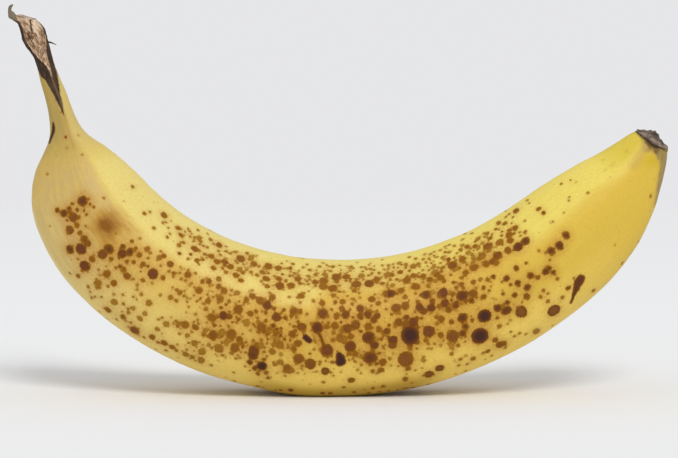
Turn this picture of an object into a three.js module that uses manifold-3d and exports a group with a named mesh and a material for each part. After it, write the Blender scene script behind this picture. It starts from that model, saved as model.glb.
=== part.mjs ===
// A ripe banana, whole and unpeeled, balanced on the flattened outer face of its
// curve with both ends up. Millimetres, +Z up, the curve in the X-Z plane, stem
// at -X, blossom end at +X. The origin is on the ground under the middle of the
// fruit's bounding box.
//
// The fruit grew in one piece, so it is one closed solid: a loft along the
// fruit's own axis from the dried, torn tip of the stem, down the stem, round
// the five-sided body and out to the shrivelled blossom scar.
import * as THREE from "three";
import { mergeVertices } from "three/addons/utils/BufferGeometryUtils.js";
import Module from "manifold-3d";

// ---- driving dimensions, mm -------------------------------------------------
const RING_POINTS = 40; // points round each section
const BODY_STEPS = 2; // sections per station interval
const PRESS = 0.5; // how far the resting face is pressed flat by the fruit's weight
const RIDGES = 5; // a banana finger is five-sided
const SHIFT_X = -0.44; // puts the bounding box's middle on the origin
const SHIFT_Y = 0.04;
const PEEL_COLOUR = 0xe0bf4a;

// Stations along the axis, stem tip first:
// [x, y, z, half thickness in the plane of the curve, half width across it,
//  ridge strength as a share of the radius]
const STATIONS = [
  // curled hook and torn blade at the top of the stem
  [-90.62, 0.3, 109.1, 0.24, 0.22, 0],
  [-91.32, 0.5, 108.42, 0.46, 0.4, 0],
  [-91.46, 0.7, 107.5, 0.5, 0.5, 0],
  [-91.05, 0.8, 106.52, 0.88, 0.66, 0],
  [-90.06, 0.8, 105.44, 0.89, 0.9, 0],
  [-88.33, 0.7, 104.84, 1.59, 1.15, 0],
  [-86.56, 0.6, 103.34, 2.63, 1.5, 0],
  [-85.03, 0.5, 101.22, 3.51, 1.85, 0],
  [-84.09, 0.4, 98.88, 3.24, 2.2, 0],
  // stem
  [-82.9, 0.3, 96.54, 2.74, 2.55, 0],
  [-81.99, 0.2, 93.92, 2.41, 2.8, 0],
  [-81.13, 0.1, 91.02, 2.5, 3, 0.01],
  [-80.08, 0, 87.64, 2.76, 3.2, 0.02],
  [-78.73, 0, 83.93, 3.04, 3.5, 0.02],
  [-77.62, 0, 80.08, 3.29, 3.85, 0.02],
  [-76.7, 0, 76.55, 3.78, 4.3, 0.025],
  [-76.03, 0, 73.96, 4.47, 4.9, 0.025],
  // shoulder
  [-75.44, 0, 71.55, 5.75, 5.99, 0.025],
  [-74.87, 0, 69.26, 7.64, 7.41, 0.028],
  [-74.23, 0, 66.86, 9.83, 9.49, 0.028],
  [-73.46, 0, 64.03, 11.87, 11.39, 0.028],
  [-72.4, 0, 60.59, 13.79, 13.24, 0.028],
  // body
  [-70.79, 0, 56.34, 15.44, 14.82, 0.028],
  [-68.5, 0, 51.81, 16.44, 15.79, 0.028],
  [-64.6, 0, 46.03, 17.32, 16.63, 0.028],
  [-59.06, 0, 40.14, 17.83, 17.11, 0.028],
  [-51.4, 0, 34.02, 18.17, 17.44, 0.028],
  [-40.78, 0, 27.77, 18.5, 17.86, 0.03],
  [-30.39, 0, 23.56, 18.76, 18.2, 0.032],
  [-19.82, 0, 20.77, 18.78, 18.21, 0.034],
  [-9.05, 0, 18.84, 19.11, 18.52, 0.034],
  [2.2, 0, 18.65, 18.96, 18.4, 0.034],
  [13.1, 0, 19.58, 18.75, 18.19, 0.034],
  [24.1, 0, 21.73, 18.54, 17.99, 0.032],
  [34.47, 0, 25.27, 18.16, 17.51, 0.03],
  [44.69, 0, 29.88, 17.69, 16.99, 0.028],
  [55.16, 0, 36.37, 17.17, 16.49, 0.028],
  [61.89, 0, 41.42, 16.75, 16.07, 0.028],
  [66.93, 0, 45.87, 16.1, 15.44, 0.03],
  // taper to the blossom end
  [71.96, 0, 50.73, 14.87, 14.28, 0.032],
  [75.77, 0, 54.83, 13.43, 12.89, 0.035],
  [79.25, 0, 58.86, 11.64, 11.17, 0.038],
  [82.28, 0, 62.89, 9.57, 9.17, 0.04],
  [84.55, 0, 66.09, 8, 7.76, 0.042],
  [86.54, -0.2, 69.1, 6.55, 6.41, 0.04],
  [87.84, -0.5, 71.09, 5.26, 5.16, 0.03],
];
// Angles of the five ridges at three places along the body, in degrees: 0 points
// to the fruit's -Y side and 90 to the inside of its curve.
const RIDGE_ANGLES = [
  { at: 0.3, deg: [15, 95, 160, 232, 302] }, // shoulder
  { at: 0.62, deg: [27, 96, 153, 238, 302] }, // middle
  { at: 1.0, deg: [8, 85, 158, 228, 288] }, // blossom end
];
// The blossom scar: rings stepping out from the last station, each as
// [distance along the end's own axis, share of the last ring's radius].
const SCAR = [
  [0.15, 0.9],
  [0.5, 0.93],
  [1.0, 0.99],
  [1.5, 0.94],
  [1.75, 0.74],
  [1.85, 0.56],
  [2.3, 0.52],
  [2.7, 0.36],
];
const SCAR_TIP = 2.85;
const SCAR_AXIS = new THREE.Vector3(0.47, -0.13, 0.873).normalize();

// ---- curves -----------------------------------------------------------------
const axis = new THREE.CatmullRomCurve3(
  STATIONS.map(([x, y, z]) => new THREE.Vector3(x, y, z)),
  false,
  "catmullrom",
  0.5,
);
const girth = new THREE.CatmullRomCurve3(
  STATIONS.map(([, , , h, w, e]) => new THREE.Vector3(h, w, e)),
  false,
  "catmullrom",
  0.5,
);

// The ridges' angles at t, read between the rows of RIDGE_ANGLES.
function ridgesAt(t) {
  const rows = RIDGE_ANGLES;
  if (t <= rows[0].at) return rows[0].deg;
  for (let i = 1; i < rows.length; i++)
    if (t <= rows[i].at) {
      const f = (t - rows[i - 1].at) / (rows[i].at - rows[i - 1].at);
      return rows[i].deg.map((d, k) => THREE.MathUtils.lerp(rows[i - 1].deg[k], d, f));
    }
  return rows[rows.length - 1].deg;
}

// One section: [across, inward] offsets from the axis, RING_POINTS of them.
function section(t, half, width, ridge) {
  const corners = ridgesAt(t);
  const points = [];
  for (let j = 0; j < RING_POINTS; j++) {
    const deg = (360 * j) / RING_POINTS;
    // share of the way from one ridge to the next
    let k = corners.findIndex((c) => c > deg);
    if (k === -1) k = RIDGES;
    const lo = k === 0 ? corners[RIDGES - 1] - 360 : corners[k - 1];
    const hi = k === RIDGES ? corners[0] + 360 : corners[k];
    const along = (deg - lo) / (hi - lo);
    const r = 1 + ridge * Math.cos(2 * Math.PI * along);
    const a = THREE.MathUtils.degToRad(deg);
    points.push([r * Math.cos(a), r * Math.sin(a)]);
  }
  const us = points.map((p) => p[1]);
  const top = Math.max(...us),
    bottom = Math.min(...us);
  const wide = Math.max(...points.map((p) => Math.abs(p[0])));
  return points.map(([w, u]) => [
    (width * w) / wide,
    half * ((2 * (u - bottom)) / (top - bottom) - 1),
  ]);
}

// ---- loft -------------------------------------------------------------------
const rings = [];
const steps = (STATIONS.length - 1) * BODY_STEPS;
let inward, across, last;
for (let i = 0; i <= steps; i++) {
  const t = i / steps;
  const c = axis.getPoint(t);
  const g = girth.getPoint(t);
  const along = axis.getTangent(t);
  along.y = 0;
  along.normalize();
  inward = new THREE.Vector3(-along.z, 0, along.x);
  across = new THREE.Vector3(0, -1, 0);
  last = { c, half: g.x, width: g.y, points: section(t, g.x, g.y, g.z) };
  rings.push(
    last.points.map(([w, u]) =>
      c.clone().addScaledVector(across, w).addScaledVector(inward, u),
    ),
  );
}
// The scar stands on the last ring, square to its own axis.
const scarIn = new THREE.Vector3()
  .crossVectors(new THREE.Vector3(0, 1, 0), SCAR_AXIS)
  .normalize()
  .negate();
const scarAcross = new THREE.Vector3().crossVectors(SCAR_AXIS, scarIn).normalize();
if (scarAcross.y > 0) scarAcross.negate();
for (const [out, share] of SCAR) {
  const c = last.c.clone().addScaledVector(SCAR_AXIS, out);
  rings.push(
    last.points.map(([w, u]) =>
      c.clone().addScaledVector(scarAcross, w * share).addScaledVector(scarIn, u * share),
    ),
  );
}

const vertices = [];
const triangles = [];
rings.forEach((ring) => ring.forEach((p) => vertices.push(p.x, p.y, p.z)));
const first = vertices.length / 3;
const start = axis.getPoint(0).addScaledVector(axis.getTangent(0), -0.15);
const end = last.c.clone().addScaledVector(SCAR_AXIS, SCAR_TIP);
vertices.push(start.x, start.y, start.z, end.x, end.y, end.z);
for (let i = 0; i + 1 < rings.length; i++)
  for (let j = 0; j < RING_POINTS; j++) {
    const a = i * RING_POINTS + j,
      b = i * RING_POINTS + ((j + 1) % RING_POINTS),
      c = a + RING_POINTS,
      d = b + RING_POINTS;
    triangles.push(a, c, b, b, c, d);
  }
const lastRing = (rings.length - 1) * RING_POINTS;
for (let j = 0; j < RING_POINTS; j++) {
  const k = (j + 1) % RING_POINTS;
  triangles.push(first, j, k);
  triangles.push(first + 1, lastRing + k, lastRing + j);
}
const skin = new THREE.BufferGeometry();
skin.setAttribute("position", new THREE.Float32BufferAttribute(vertices, 3));
skin.setIndex(triangles);

// ---- the resting face -------------------------------------------------------
const wasm = await Module();
wasm.setup();

function toSolid(geometry) {
  const g = geometry.clone();
  g.deleteAttribute("normal");
  g.deleteAttribute("uv");
  const merged = mergeVertices(g, 1e-4);
  return new wasm.Manifold(
    new wasm.Mesh({
      numProp: 3,
      vertProperties: new Float32Array(merged.attributes.position.array),
      triVerts: new Uint32Array(merged.index.array),
    }),
  );
}

skin.computeBoundingBox();
const lowest = skin.boundingBox.min.z;
skin.translate(0, 0, -lowest - PRESS);
const ground = new THREE.BoxGeometry(400, 200, 40);
ground.translate(0, 0, -20);
let fruit = toSolid(skin);
if (fruit.volume() < 0) throw new Error("the loft faces inwards");
fruit = fruit.subtract(toSolid(ground));

const got = fruit.getMesh();
const body = new THREE.BufferGeometry();
const n = got.numProp;
const position = new Float32Array(got.numVert * 3);
for (let i = 0; i < got.numVert; i++)
  position.set(got.vertProperties.subarray(i * n, i * n + 3), i * 3);
body.setAttribute("position", new THREE.BufferAttribute(position, 3));
body.setIndex(new THREE.BufferAttribute(got.triVerts, 1));
body.translate(SHIFT_X, SHIFT_Y, 0);
body.computeVertexNormals();

// ---- the scene graph --------------------------------------------------------
const peel = new THREE.MeshStandardMaterial({
  color: PEEL_COLOUR,
  roughness: 0.5,
  metalness: 0,
});
const banana = new THREE.Mesh(body, peel);
banana.name = "banana";

const part = new THREE.Group();
part.add(banana);
export default part;
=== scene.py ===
import math

import bpy
import numpy as np
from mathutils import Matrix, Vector, kdtree, noise
from mathutils.geometry import delaunay_2d_cdt


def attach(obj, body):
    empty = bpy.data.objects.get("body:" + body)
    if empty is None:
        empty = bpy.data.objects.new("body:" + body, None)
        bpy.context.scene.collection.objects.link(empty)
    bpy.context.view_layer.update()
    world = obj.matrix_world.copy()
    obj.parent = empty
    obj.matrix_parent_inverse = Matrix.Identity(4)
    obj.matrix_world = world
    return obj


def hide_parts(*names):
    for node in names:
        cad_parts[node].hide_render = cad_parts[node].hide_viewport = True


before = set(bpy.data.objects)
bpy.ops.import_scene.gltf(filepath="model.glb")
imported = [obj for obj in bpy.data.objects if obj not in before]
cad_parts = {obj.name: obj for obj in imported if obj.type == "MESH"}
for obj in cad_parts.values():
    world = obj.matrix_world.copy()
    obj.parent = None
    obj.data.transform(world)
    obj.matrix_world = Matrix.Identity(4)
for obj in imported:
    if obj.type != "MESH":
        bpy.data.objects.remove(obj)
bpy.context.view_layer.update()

# A ripe banana resting on its outer curve: one closed skin, finer than the CAD
# solid it stands for. Its markings are fields on the vertices, and the mesh is
# laid out round them, so each spot has an edge of its own. Lengths are
# millimetres until the mesh is written.
MM = 0.001
RNG = np.random.default_rng(20417)

# ---- the camera -------------------------------------------------------------
WIDTH, HEIGHT = 678, 458
PIXEL = 0.28  # mm across the fruit for each pixel of the frame
DISTANCE = 1400.0
ELEVATION = math.radians(5.0)
TARGET = np.array([-0.02, 0.0, 46.34])
EYE = TARGET + DISTANCE * np.array([0, -math.cos(ELEVATION), math.sin(ELEVATION)])
FOCAL = DISTANCE / PIXEL  # in pixels


def to_pixels(p):
    """Where points of the frame, in mm, fall in the 678 x 458 picture."""
    d = p - EYE
    right = d[..., 0]
    up = d[..., 1] * math.sin(ELEVATION) + d[..., 2] * math.cos(ELEVATION)
    deep = d[..., 1] * math.cos(ELEVATION) - d[..., 2] * math.sin(ELEVATION)
    return np.stack([WIDTH / 2 + FOCAL * right / deep, HEIGHT / 2 - FOCAL * up / deep], -1)


# ---- the shape --------------------------------------------------------------
PRESS = 0.5  # how deep the resting face is pressed in
LOWEST = -0.4986  # lowest point of the CAD loft before it is pressed
SHIFT = np.array([-0.44, 0.04, -LOWEST - PRESS])
# x, y, z, half thickness in the plane of the curve, half thickness across it,
# share that the ridges stand out; from the stem's tip to the blossom end
STATIONS = np.array([
    (-90.62, 0.3, 109.1, 0.24, 0.22, 0), (-91.32, 0.5, 108.42, 0.46, 0.4, 0),
    (-91.46, 0.7, 107.5, 0.5, 0.5, 0), (-91.05, 0.8, 106.52, 0.88, 0.66, 0),
    (-90.06, 0.8, 105.44, 0.89, 0.9, 0), (-88.33, 0.7, 104.84, 1.59, 1.15, 0),
    (-86.56, 0.6, 103.34, 2.63, 1.5, 0), (-85.03, 0.5, 101.22, 3.51, 1.85, 0),
    (-84.09, 0.4, 98.88, 3.24, 2.2, 0),
    # stem
    (-82.9, 0.3, 96.54, 2.74, 2.55, 0), (-81.99, 0.2, 93.92, 2.41, 2.8, 0),
    (-81.13, 0.1, 91.02, 2.5, 3, 0.01), (-80.08, 0, 87.64, 2.76, 3.2, 0.02),
    (-78.73, 0, 83.93, 3.04, 3.5, 0.02), (-77.62, 0, 80.08, 3.29, 3.85, 0.02),
    (-76.7, 0, 76.55, 3.78, 4.3, 0.025), (-76.03, 0, 73.96, 4.47, 4.9, 0.025),
    # shoulder
    (-75.44, 0, 71.55, 5.75, 5.99, 0.025), (-74.87, 0, 69.26, 7.64, 7.41, 0.028),
    (-74.23, 0, 66.86, 9.83, 9.49, 0.028), (-73.46, 0, 64.03, 11.87, 11.39, 0.028),
    (-72.4, 0, 60.59, 13.79, 13.24, 0.028),
    # body
    (-70.79, 0, 56.34, 15.44, 14.82, 0.028), (-68.5, 0, 51.81, 16.44, 15.79, 0.028),
    (-64.6, 0, 46.03, 17.32, 16.63, 0.028), (-59.06, 0, 40.14, 17.83, 17.11, 0.028),
    (-51.4, 0, 34.02, 18.17, 17.44, 0.028), (-40.78, 0, 27.77, 18.5, 17.86, 0.03),
    (-30.39, 0, 23.56, 18.76, 18.2, 0.032), (-19.82, 0, 20.77, 18.78, 18.21, 0.034),
    (-9.05, 0, 18.84, 19.11, 18.52, 0.034), (2.2, 0, 18.65, 18.96, 18.4, 0.034),
    (13.1, 0, 19.58, 18.75, 18.19, 0.034), (24.1, 0, 21.73, 18.54, 17.99, 0.032),
    (34.47, 0, 25.27, 18.16, 17.51, 0.03), (44.69, 0, 29.88, 17.69, 16.99, 0.028),
    (55.16, 0, 36.37, 17.17, 16.49, 0.028), (61.89, 0, 41.42, 16.75, 16.07, 0.028),
    (66.93, 0, 45.87, 16.1, 15.44, 0.03),
    # taper
    (71.96, 0, 50.73, 14.87, 14.28, 0.032), (75.77, 0, 54.83, 13.43, 12.89, 0.035),
    (79.25, 0, 58.86, 11.64, 11.17, 0.038), (82.28, 0, 62.89, 9.57, 9.17, 0.04),
    (84.55, 0, 66.09, 8, 7.76, 0.042), (86.54, -0.2, 69.1, 6.55, 6.41, 0.04),
    (87.84, -0.5, 71.09, 5.26, 5.16, 0.03),
])
SPAN = len(STATIONS) - 1
CENTRES, GIRTH = STATIONS[:, :3] + SHIFT, STATIONS[:, 3:]
NECK = 17 / SPAN  # where the shoulder starts
MEET = 19 / SPAN  # where the stem's regular rings give way to the body's mesh
# the five ridges' angles: 0 faces -Y, 90 the inside of the curve
RIDGE_AT = (0.3, 0.62, 1.0)
RIDGE_DEG = ((15, 95, 160, 232, 302), (27, 96, 153, 238, 302), (8, 85, 158, 228, 288))
# a low keel along each ridge, as a share of the radius
KEEL_AT, KEEL = (0.30, 0.37, 0.5, 0.7, 0.9, 1.0), (0.0, 0.011, 0.007, 0.007, 0.010, 0.014)
TILT = 0.17  # how far the blossom end is turned towards -Y
STEM_POINTS, SCAR_POINTS = 108, 216
STEM_RINGS, SCAR_RINGS = 156, 30


def unit(v):
    return v / np.linalg.norm(v, axis=-1, keepdims=True)


def smooth(x, lo, hi):
    f = np.clip((x - lo) / (hi - lo), 0, 1)
    return f * f * (3 - 2 * f)


def bump(x, lo, hi, soft):
    return smooth(x, lo - soft, lo + soft) * (1 - smooth(x, hi - soft, hi + soft))


def catmull(points, t, slope=False):
    """The curve through points at t from 0 to 1, or its direction."""
    p = np.concatenate([[2 * points[0] - points[1]], points, [2 * points[-1] - points[-2]]])
    at = np.asarray(t, float) * (len(points) - 1)
    i = np.clip(at.astype(int), 0, len(points) - 2)
    f = (at - i)[..., None]
    a, b, c, d = p[i], p[i + 1], p[i + 2], p[i + 3]
    if slope:
        return 0.5 * ((c - a) + 2 * (2 * a - 5 * b + 4 * c - d) * f + 3 * (3 * b - a - 3 * c + d) * f * f)
    return 0.5 * (2 * b + (c - a) * f + (2 * a - 5 * b + 4 * c - d) * f**2 + (3 * b - a - 3 * c + d) * f**3)


def outline(t, ridge, deg):
    """The section's radius as a share, at pairs of t and angle."""
    rows = np.array(RIDGE_DEG, float)
    corners = np.stack([np.interp(t, RIDGE_AT, rows[:, k]) for k in range(5)], -1)
    walls = np.concatenate([corners[..., -1:] - 360, corners, corners[..., :1] + 360], -1)
    k = np.clip((deg[..., None] >= walls).sum(-1) - 1, 0, 5)[..., None]
    lo = np.take_along_axis(walls, k, -1)[..., 0]
    hi = np.take_along_axis(walls, k + 1, -1)[..., 0]
    near = np.minimum(deg - lo, hi - deg)
    return (1 + ridge * np.cos(2 * np.pi * (deg - lo) / (hi - lo))
            + np.interp(t, KEEL_AT, KEEL) * np.exp(-((near / 7.5) ** 2)))


FINE = np.linspace(0, 1, 1401)
LENGTH = np.concatenate([[0], np.cumsum(np.linalg.norm(np.diff(catmull(CENTRES, FINE), axis=0), axis=1))])
fine_t, fine_deg = np.meshgrid(FINE, np.arange(0, 360, 2.0), indexing="ij")
fine_r = outline(fine_t, catmull(GIRTH, FINE)[:, 2:3] * np.ones_like(fine_deg), fine_deg)
WIDEST = np.abs(fine_r * np.cos(np.radians(fine_deg))).max(1)
INMOST = (fine_r * np.sin(np.radians(fine_deg))).max(1)
OUTMOST = (fine_r * np.sin(np.radians(fine_deg))).min(1)


def length_at(t):
    return np.interp(t, FINE, LENGTH)


def t_at(length):
    return np.interp(length, LENGTH, FINE)


END = length_at(1.0)
MEET_AT = length_at(MEET)


def frame_at(t, deg):
    """The section's middle, its axes and the skin's place in it, at pairs of t and angle."""
    deg = np.mod(deg, 360.0)
    g = catmull(GIRTH, t)
    along = catmull(CENTRES, t, True)
    along[..., 1] = 0
    along = unit(along)
    inward = np.stack([-along[..., 2], np.zeros(along.shape[:-1]), along[..., 0]], -1)
    r = outline(t, g[..., 2], deg)
    w = g[..., 1] * r * np.cos(np.radians(deg)) / np.interp(t, FINE, WIDEST)
    lo, hi = np.interp(t, FINE, OUTMOST), np.interp(t, FINE, INMOST)
    u = g[..., 0] * (2 * (r * np.sin(np.radians(deg)) - lo) / (hi - lo) - 1)
    return {"c": catmull(CENTRES, t), "g": g, "along": along, "inward": inward, "w": w, "u": u, "t": t}


def place(f):
    lean = TILT * smooth(length_at(f["t"]), END - 11, END)
    return (f["c"] + f["w"][..., None] * np.array([0, -1.0, 0]) + f["inward"] * f["u"][..., None]
            - f["along"] * (lean * f["w"])[..., None])


def field(points, size, seed, octaves=3):
    """Smooth noise from about -1 to 1 at each point, with features of that size in mm."""
    off = Vector((seed * 17.31, seed * 5.77, seed * 11.13))
    flat = np.asarray(points).reshape(-1, 3)
    found = [noise.fractal(Vector(p) / size + off, 0.6, 2.0, octaves) for p in flat.tolist()]
    return np.array(found).reshape(np.asarray(points).shape[:-1])


def skin(t, deg, swell=True):
    """Points of the body's skin, with the small unevenness of the peel."""
    f = frame_at(np.asarray(t, float), np.asarray(deg, float))
    p = place(f)
    if swell:
        s = length_at(f["t"])
        ease = smooth(s, MEET_AT, MEET_AT + 6) * (1 - smooth(s, END - 7, END - 1))
        rise = 0.09 * field(p, 20.0, 31, 2) + 0.04 * field(p, 5.0, 32, 2)
        p = p + unit(p - f["c"]) * (rise * ease)[..., None]
    return p


# ---- the stem -----------------------------------------------------------------
even = np.linspace(0, MEET_AT, STEM_RINGS)
stem_deg = np.arange(STEM_POINTS) * 360.0 / STEM_POINTS
stem_t, stem_a = np.meshgrid(t_at(even), stem_deg, indexing="ij")
stem = frame_at(stem_t, stem_a)


def poly_inside(x, y, poly):
    """Distance in pixels to a closed outline, positive inside."""
    poly = np.asarray(poly, float)
    a, b = poly, np.roll(poly, -1, 0)
    best = np.full(x.shape, 1e9)
    odd = np.zeros(x.shape, bool)
    for (x0, y0), (x1, y1) in zip(a, b):
        ex, ey = x1 - x0, y1 - y0
        k = np.clip(((x - x0) * ex + (y - y0) * ey) / (ex * ex + ey * ey + 1e-9), 0, 1)
        best = np.minimum(best, np.hypot(x - x0 - k * ex, y - y0 - k * ey))
        at = x0 + (y - y0) * ex / (ey if ey else 1e-9)
        odd ^= ((y0 > y) != (y1 > y)) & (x < at)
    return np.where(odd, best, -best)


def near_line(x, y, line, wide):
    """From 1 on a broken line to 0 away from it; each point is x, y."""
    best = np.full(x.shape, 1e9)
    for (x0, y0), (x1, y1) in zip(line[:-1], line[1:]):
        ex, ey = x1 - x0, y1 - y0
        k = np.clip(((x - x0) * ex + (y - y0) * ey) / (ex * ex + ey * ey), 0, 1)
        best = np.minimum(best, np.hypot(x - x0 - k * ex, y - y0 - k * ey))
    return np.exp(-((best / wide) ** 2))


# outlines of the torn face, of the dry skin beside and above it, and of the
# slit at the neck, in pixels of the 678 x 458 frame
TORN = [(15.5, 16.5), (17, 13.6), (21, 14), (26, 15.6), (31, 17.8), (34, 20), (36.5, 20.2), (39.5, 22.6),
        (42, 26.5), (44, 31), (45.6, 36), (46.6, 41), (46.6, 46), (46.7, 51), (47.6, 56), (48.8, 61),
        (50.2, 66), (51.4, 71), (52.8, 78), (51.6, 78), (49.8, 72), (47.2, 67.5), (44, 63.5), (40, 60),
        (36.5, 56.5), (33.5, 52.5), (30.5, 48), (27.5, 44), (25.5, 40), (24, 35), (23, 30), (21.5, 26),
        (19.5, 22.5), (17, 20)]
DARK = [(0, 0), (62, 0), (62, 58), (54.6, 64.5), (56, 69.5), (57.6, 75), (58.8, 81), (59.6, 88), (60.6, 95),
        (61.9, 101), (63.1, 107), (64.1, 113), (64.6, 117.5), (62.6, 113.5), (60.3, 108.5), (57.6, 102.5),
        (54.8, 97), (52, 92), (49.2, 87), (46.4, 82), (44, 79), (41, 77), (38.8, 72), (36, 66), (30, 60), (0, 50)]
SLIT = [(52.7, 122.5), (53.6, 123), (54.8, 127.5), (54.6, 131.5), (53.4, 135), (51.6, 139), (49.8, 143.5),
        (48.4, 143.5), (50.0, 138), (51.4, 134), (52.1, 130), (52.4, 126)]

front = stem["w"] > 0
stem_px = to_pixels(place(stem))
sx, sy = stem_px[..., 0], stem_px[..., 1]
torn_px, dark_px, slit_px = (poly_inside(sx, sy, poly) for poly in (TORN, DARK, SLIT))
w_now, u_now, wide_now = stem["w"], stem["u"], stem["g"][..., 1]
run_now = length_at(stem["t"])
# strands run along the stem, so their noise is stretched that way
strand = field(np.stack([u_now / 0.55, run_now / 3.4, w_now / 2.5], -1), 1.0, 21, 3)
flake = field(np.stack([u_now / 1.0, run_now / 1.5, w_now / 2.5], -1), 1.0, 22, 2)
inside = smooth(torn_px, 0.0, 2.6) * front
lip = np.exp(-(((torn_px - 0.1) / 1.3) ** 2)) * front
flap = smooth(poly_inside(sx, sy, [(31.6, 19), (40, 22), (43, 29), (40, 34), (35, 37), (32, 31)]), -1.2, 1.2) * front
gap = near_line(sx, sy, [(30.0, 20.5), (30.6, 24), (31.0, 28.5), (32.0, 33.5)], 0.85) * front
gap = np.maximum(gap, 0.6 * near_line(sx, sy, [(28.5, 36), (31.5, 42), (34.5, 48)], 0.8) * front)
sink = inside * (0.40 * wide_now - 0.30 * strand - 0.24 * flake - 0.30 * flap + 0.55 * gap)
w_new = w_now - sink + 0.26 * lip * smooth(sy, 14, 30)
# the cleft below the torn face, between the two dark edges
CLEFT = [(47, 62), (49.2, 67), (50.8, 73), (52.8, 80), (56.3, 89), (60, 99), (63, 109)]
cleft = near_line(sx, sy, CLEFT, 1.0) * smooth(sy, 60, 72) * (1 - smooth(sy, 100, 112)) * front
w_new -= 0.5 * cleft
w_new -= 0.5 * smooth(slit_px, -1.1, 0.5) * front
# dry skin puckers, and the neck keeps a crease below the cleft
pucker = field(np.stack([u_now / 0.8, run_now / 5.0, w_now / 0.8], -1), 1.0, 23, 3)
dry = 1 - smooth(sy, 60, 92)
w_new += 0.10 * pucker * dry * (1 - inside)
crease = near_line(sx, sy, [(64.4, 115), (66.5, 124), (68.5, 132), (70.5, 139), (74, 148)], 1.5) * front
w_new -= 0.13 * crease
stem["w"] = w_new
stem["u"] = u_now * (1 + 0.05 * pucker * dry)
stem_p = place(stem)
spur = np.exp(-(((sx - 8.6) ** 2 + (sy - 18.4) ** 2) / 4.5))
nub = np.exp(-(((sx - 35.2) ** 2 + (sy - 20.0) ** 2) / 2.2))
stem_p = stem_p + np.array([-0.55, 0, -0.25]) * spur[..., None] + np.array([0.05, 0, 0.42]) * nub[..., None]

# ---- the blossom scar -----------------------------------------------------------
# It steps out from the last ring, square to its own axis.
scar_deg = np.arange(SCAR_POINTS) * 360.0 / SCAR_POINTS
last = frame_at(np.ones(SCAR_POINTS), scar_deg)
rim_p, end_c = place(last), last["c"][0]
end_along, end_in = last["along"][0], last["inward"][0]
SCAR_AXIS = unit(end_along + np.array([0, -TILT, 0]))
scar_across = unit(np.array([0, -1.0, 0]) - end_along * TILT)
last_w, last_u = last["w"] * math.hypot(1, TILT), last["u"]
# distance out along the axis and share of the last ring's radius: a pinched
# neck, a ragged lip, a sunken ring and a low dry boss
SCAR_PROFILE = np.array([
    (0.0, 1.0), (0.10, 0.965), (0.16, 0.94), (0.34, 0.95), (0.56, 0.985), (0.78, 0.99), (0.92, 0.965),
    (0.96, 0.91), (0.84, 0.84), (0.66, 0.77), (0.58, 0.70), (0.70, 0.64), (0.95, 0.60), (1.14, 0.54),
    (1.22, 0.46), (1.24, 0.37), (1.26, 0.27), (1.30, 0.16), (1.32, 0.06)])
steps = np.linspace(0, len(SCAR_PROFILE) - 1, SCAR_RINGS + 1)[1:]
scar_out = np.interp(steps, range(len(SCAR_PROFILE)), SCAR_PROFILE[:, 0])
scar_share = np.interp(steps, range(len(SCAR_PROFILE)), SCAR_PROFILE[:, 1])
ring_dir = np.stack([np.cos(np.radians(scar_deg)), np.sin(np.radians(scar_deg))], 1)


def around(seed, size, heights):
    """Noise that runs round the ring, one row for each height."""
    return np.array([field(np.concatenate([ring_dir * 5.0, np.full((SCAR_POINTS, 1), h)], 1), size, seed, 3)
                     for h in heights])


rag = around(3, 2.2, scar_out * 0.6)
chip = around(5, 0.9, scar_out * 0.8)
at_lip = np.clip(1 - np.abs(scar_share - 0.95) / 0.2, 0, 1)[:, None]
deep = np.clip(1 - scar_share, 0, 1)[:, None]
scar_h = scar_out[:, None] + (0.24 * rag + 0.14 * chip) * np.clip(scar_out, 0, 1.0)[:, None]
scar_h += 0.30 * deep * around(9, 1.6, scar_share * 4)
scar_s = scar_share[:, None] * (1 + 0.03 * rag * at_lip + 0.025 * chip * at_lip + 0.06 * deep * rag)
scar_a, scar_b = last_u * scar_s, last_w * scar_s
# it stands highest in the middle and dips before the knob at the inner rim
CAP = np.array([(-6, 0.3), (-5.4, 0.45), (-4.6, 0.9), (-4, 1.06), (-2.9, 1.35), (-1.75, 1.35), (-1.2, 1.75), (-0.8, 2.15),
                (0.4, 2.2), (1.5, 1.7), (3.4, 1.27), (3.9, 0.75), (4.3, 0.45), (4.8, 0.75), (5.2, 0.8), (5.6, 0.5)])
scar_h = scar_h * np.interp(scar_a, CAP[:, 0], CAP[:, 1]) / 1.32
# knobs and pits, by their place on the disc: along the curve's inside, towards
# -Y, height and radius
KNOBS = [(0.4, -3.4, 0.30, 1.2), (-0.6, 2.6, 0.20, 1.3), (-3.1, -3.2, -0.45, 0.8), (-0.4, -2.2, -0.40, 0.7),
         (-4.3, -1.6, 0.20, 0.9), (2.6, -2.2, 0.18, 1.0), (-2.6, 2.6, 0.15, 0.9), (-1.3, -4.3, -0.35, 0.6)]
hollow = np.zeros(scar_h.shape)
for a, b, high, wide in KNOBS:
    mound = np.exp(-((scar_a - a) ** 2 + (scar_b - b) ** 2) / wide**2) * np.clip(scar_out / 0.5, 0, 1)[:, None]
    scar_h = scar_h + high * mound
    hollow -= high * mound
scar_h = np.maximum(scar_h, 0.04 + 0.25 * deep)
scar_p = (end_c + SCAR_AXIS * scar_h[..., None] + scar_across * scar_b[..., None] + end_in * scar_a[..., None])

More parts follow.
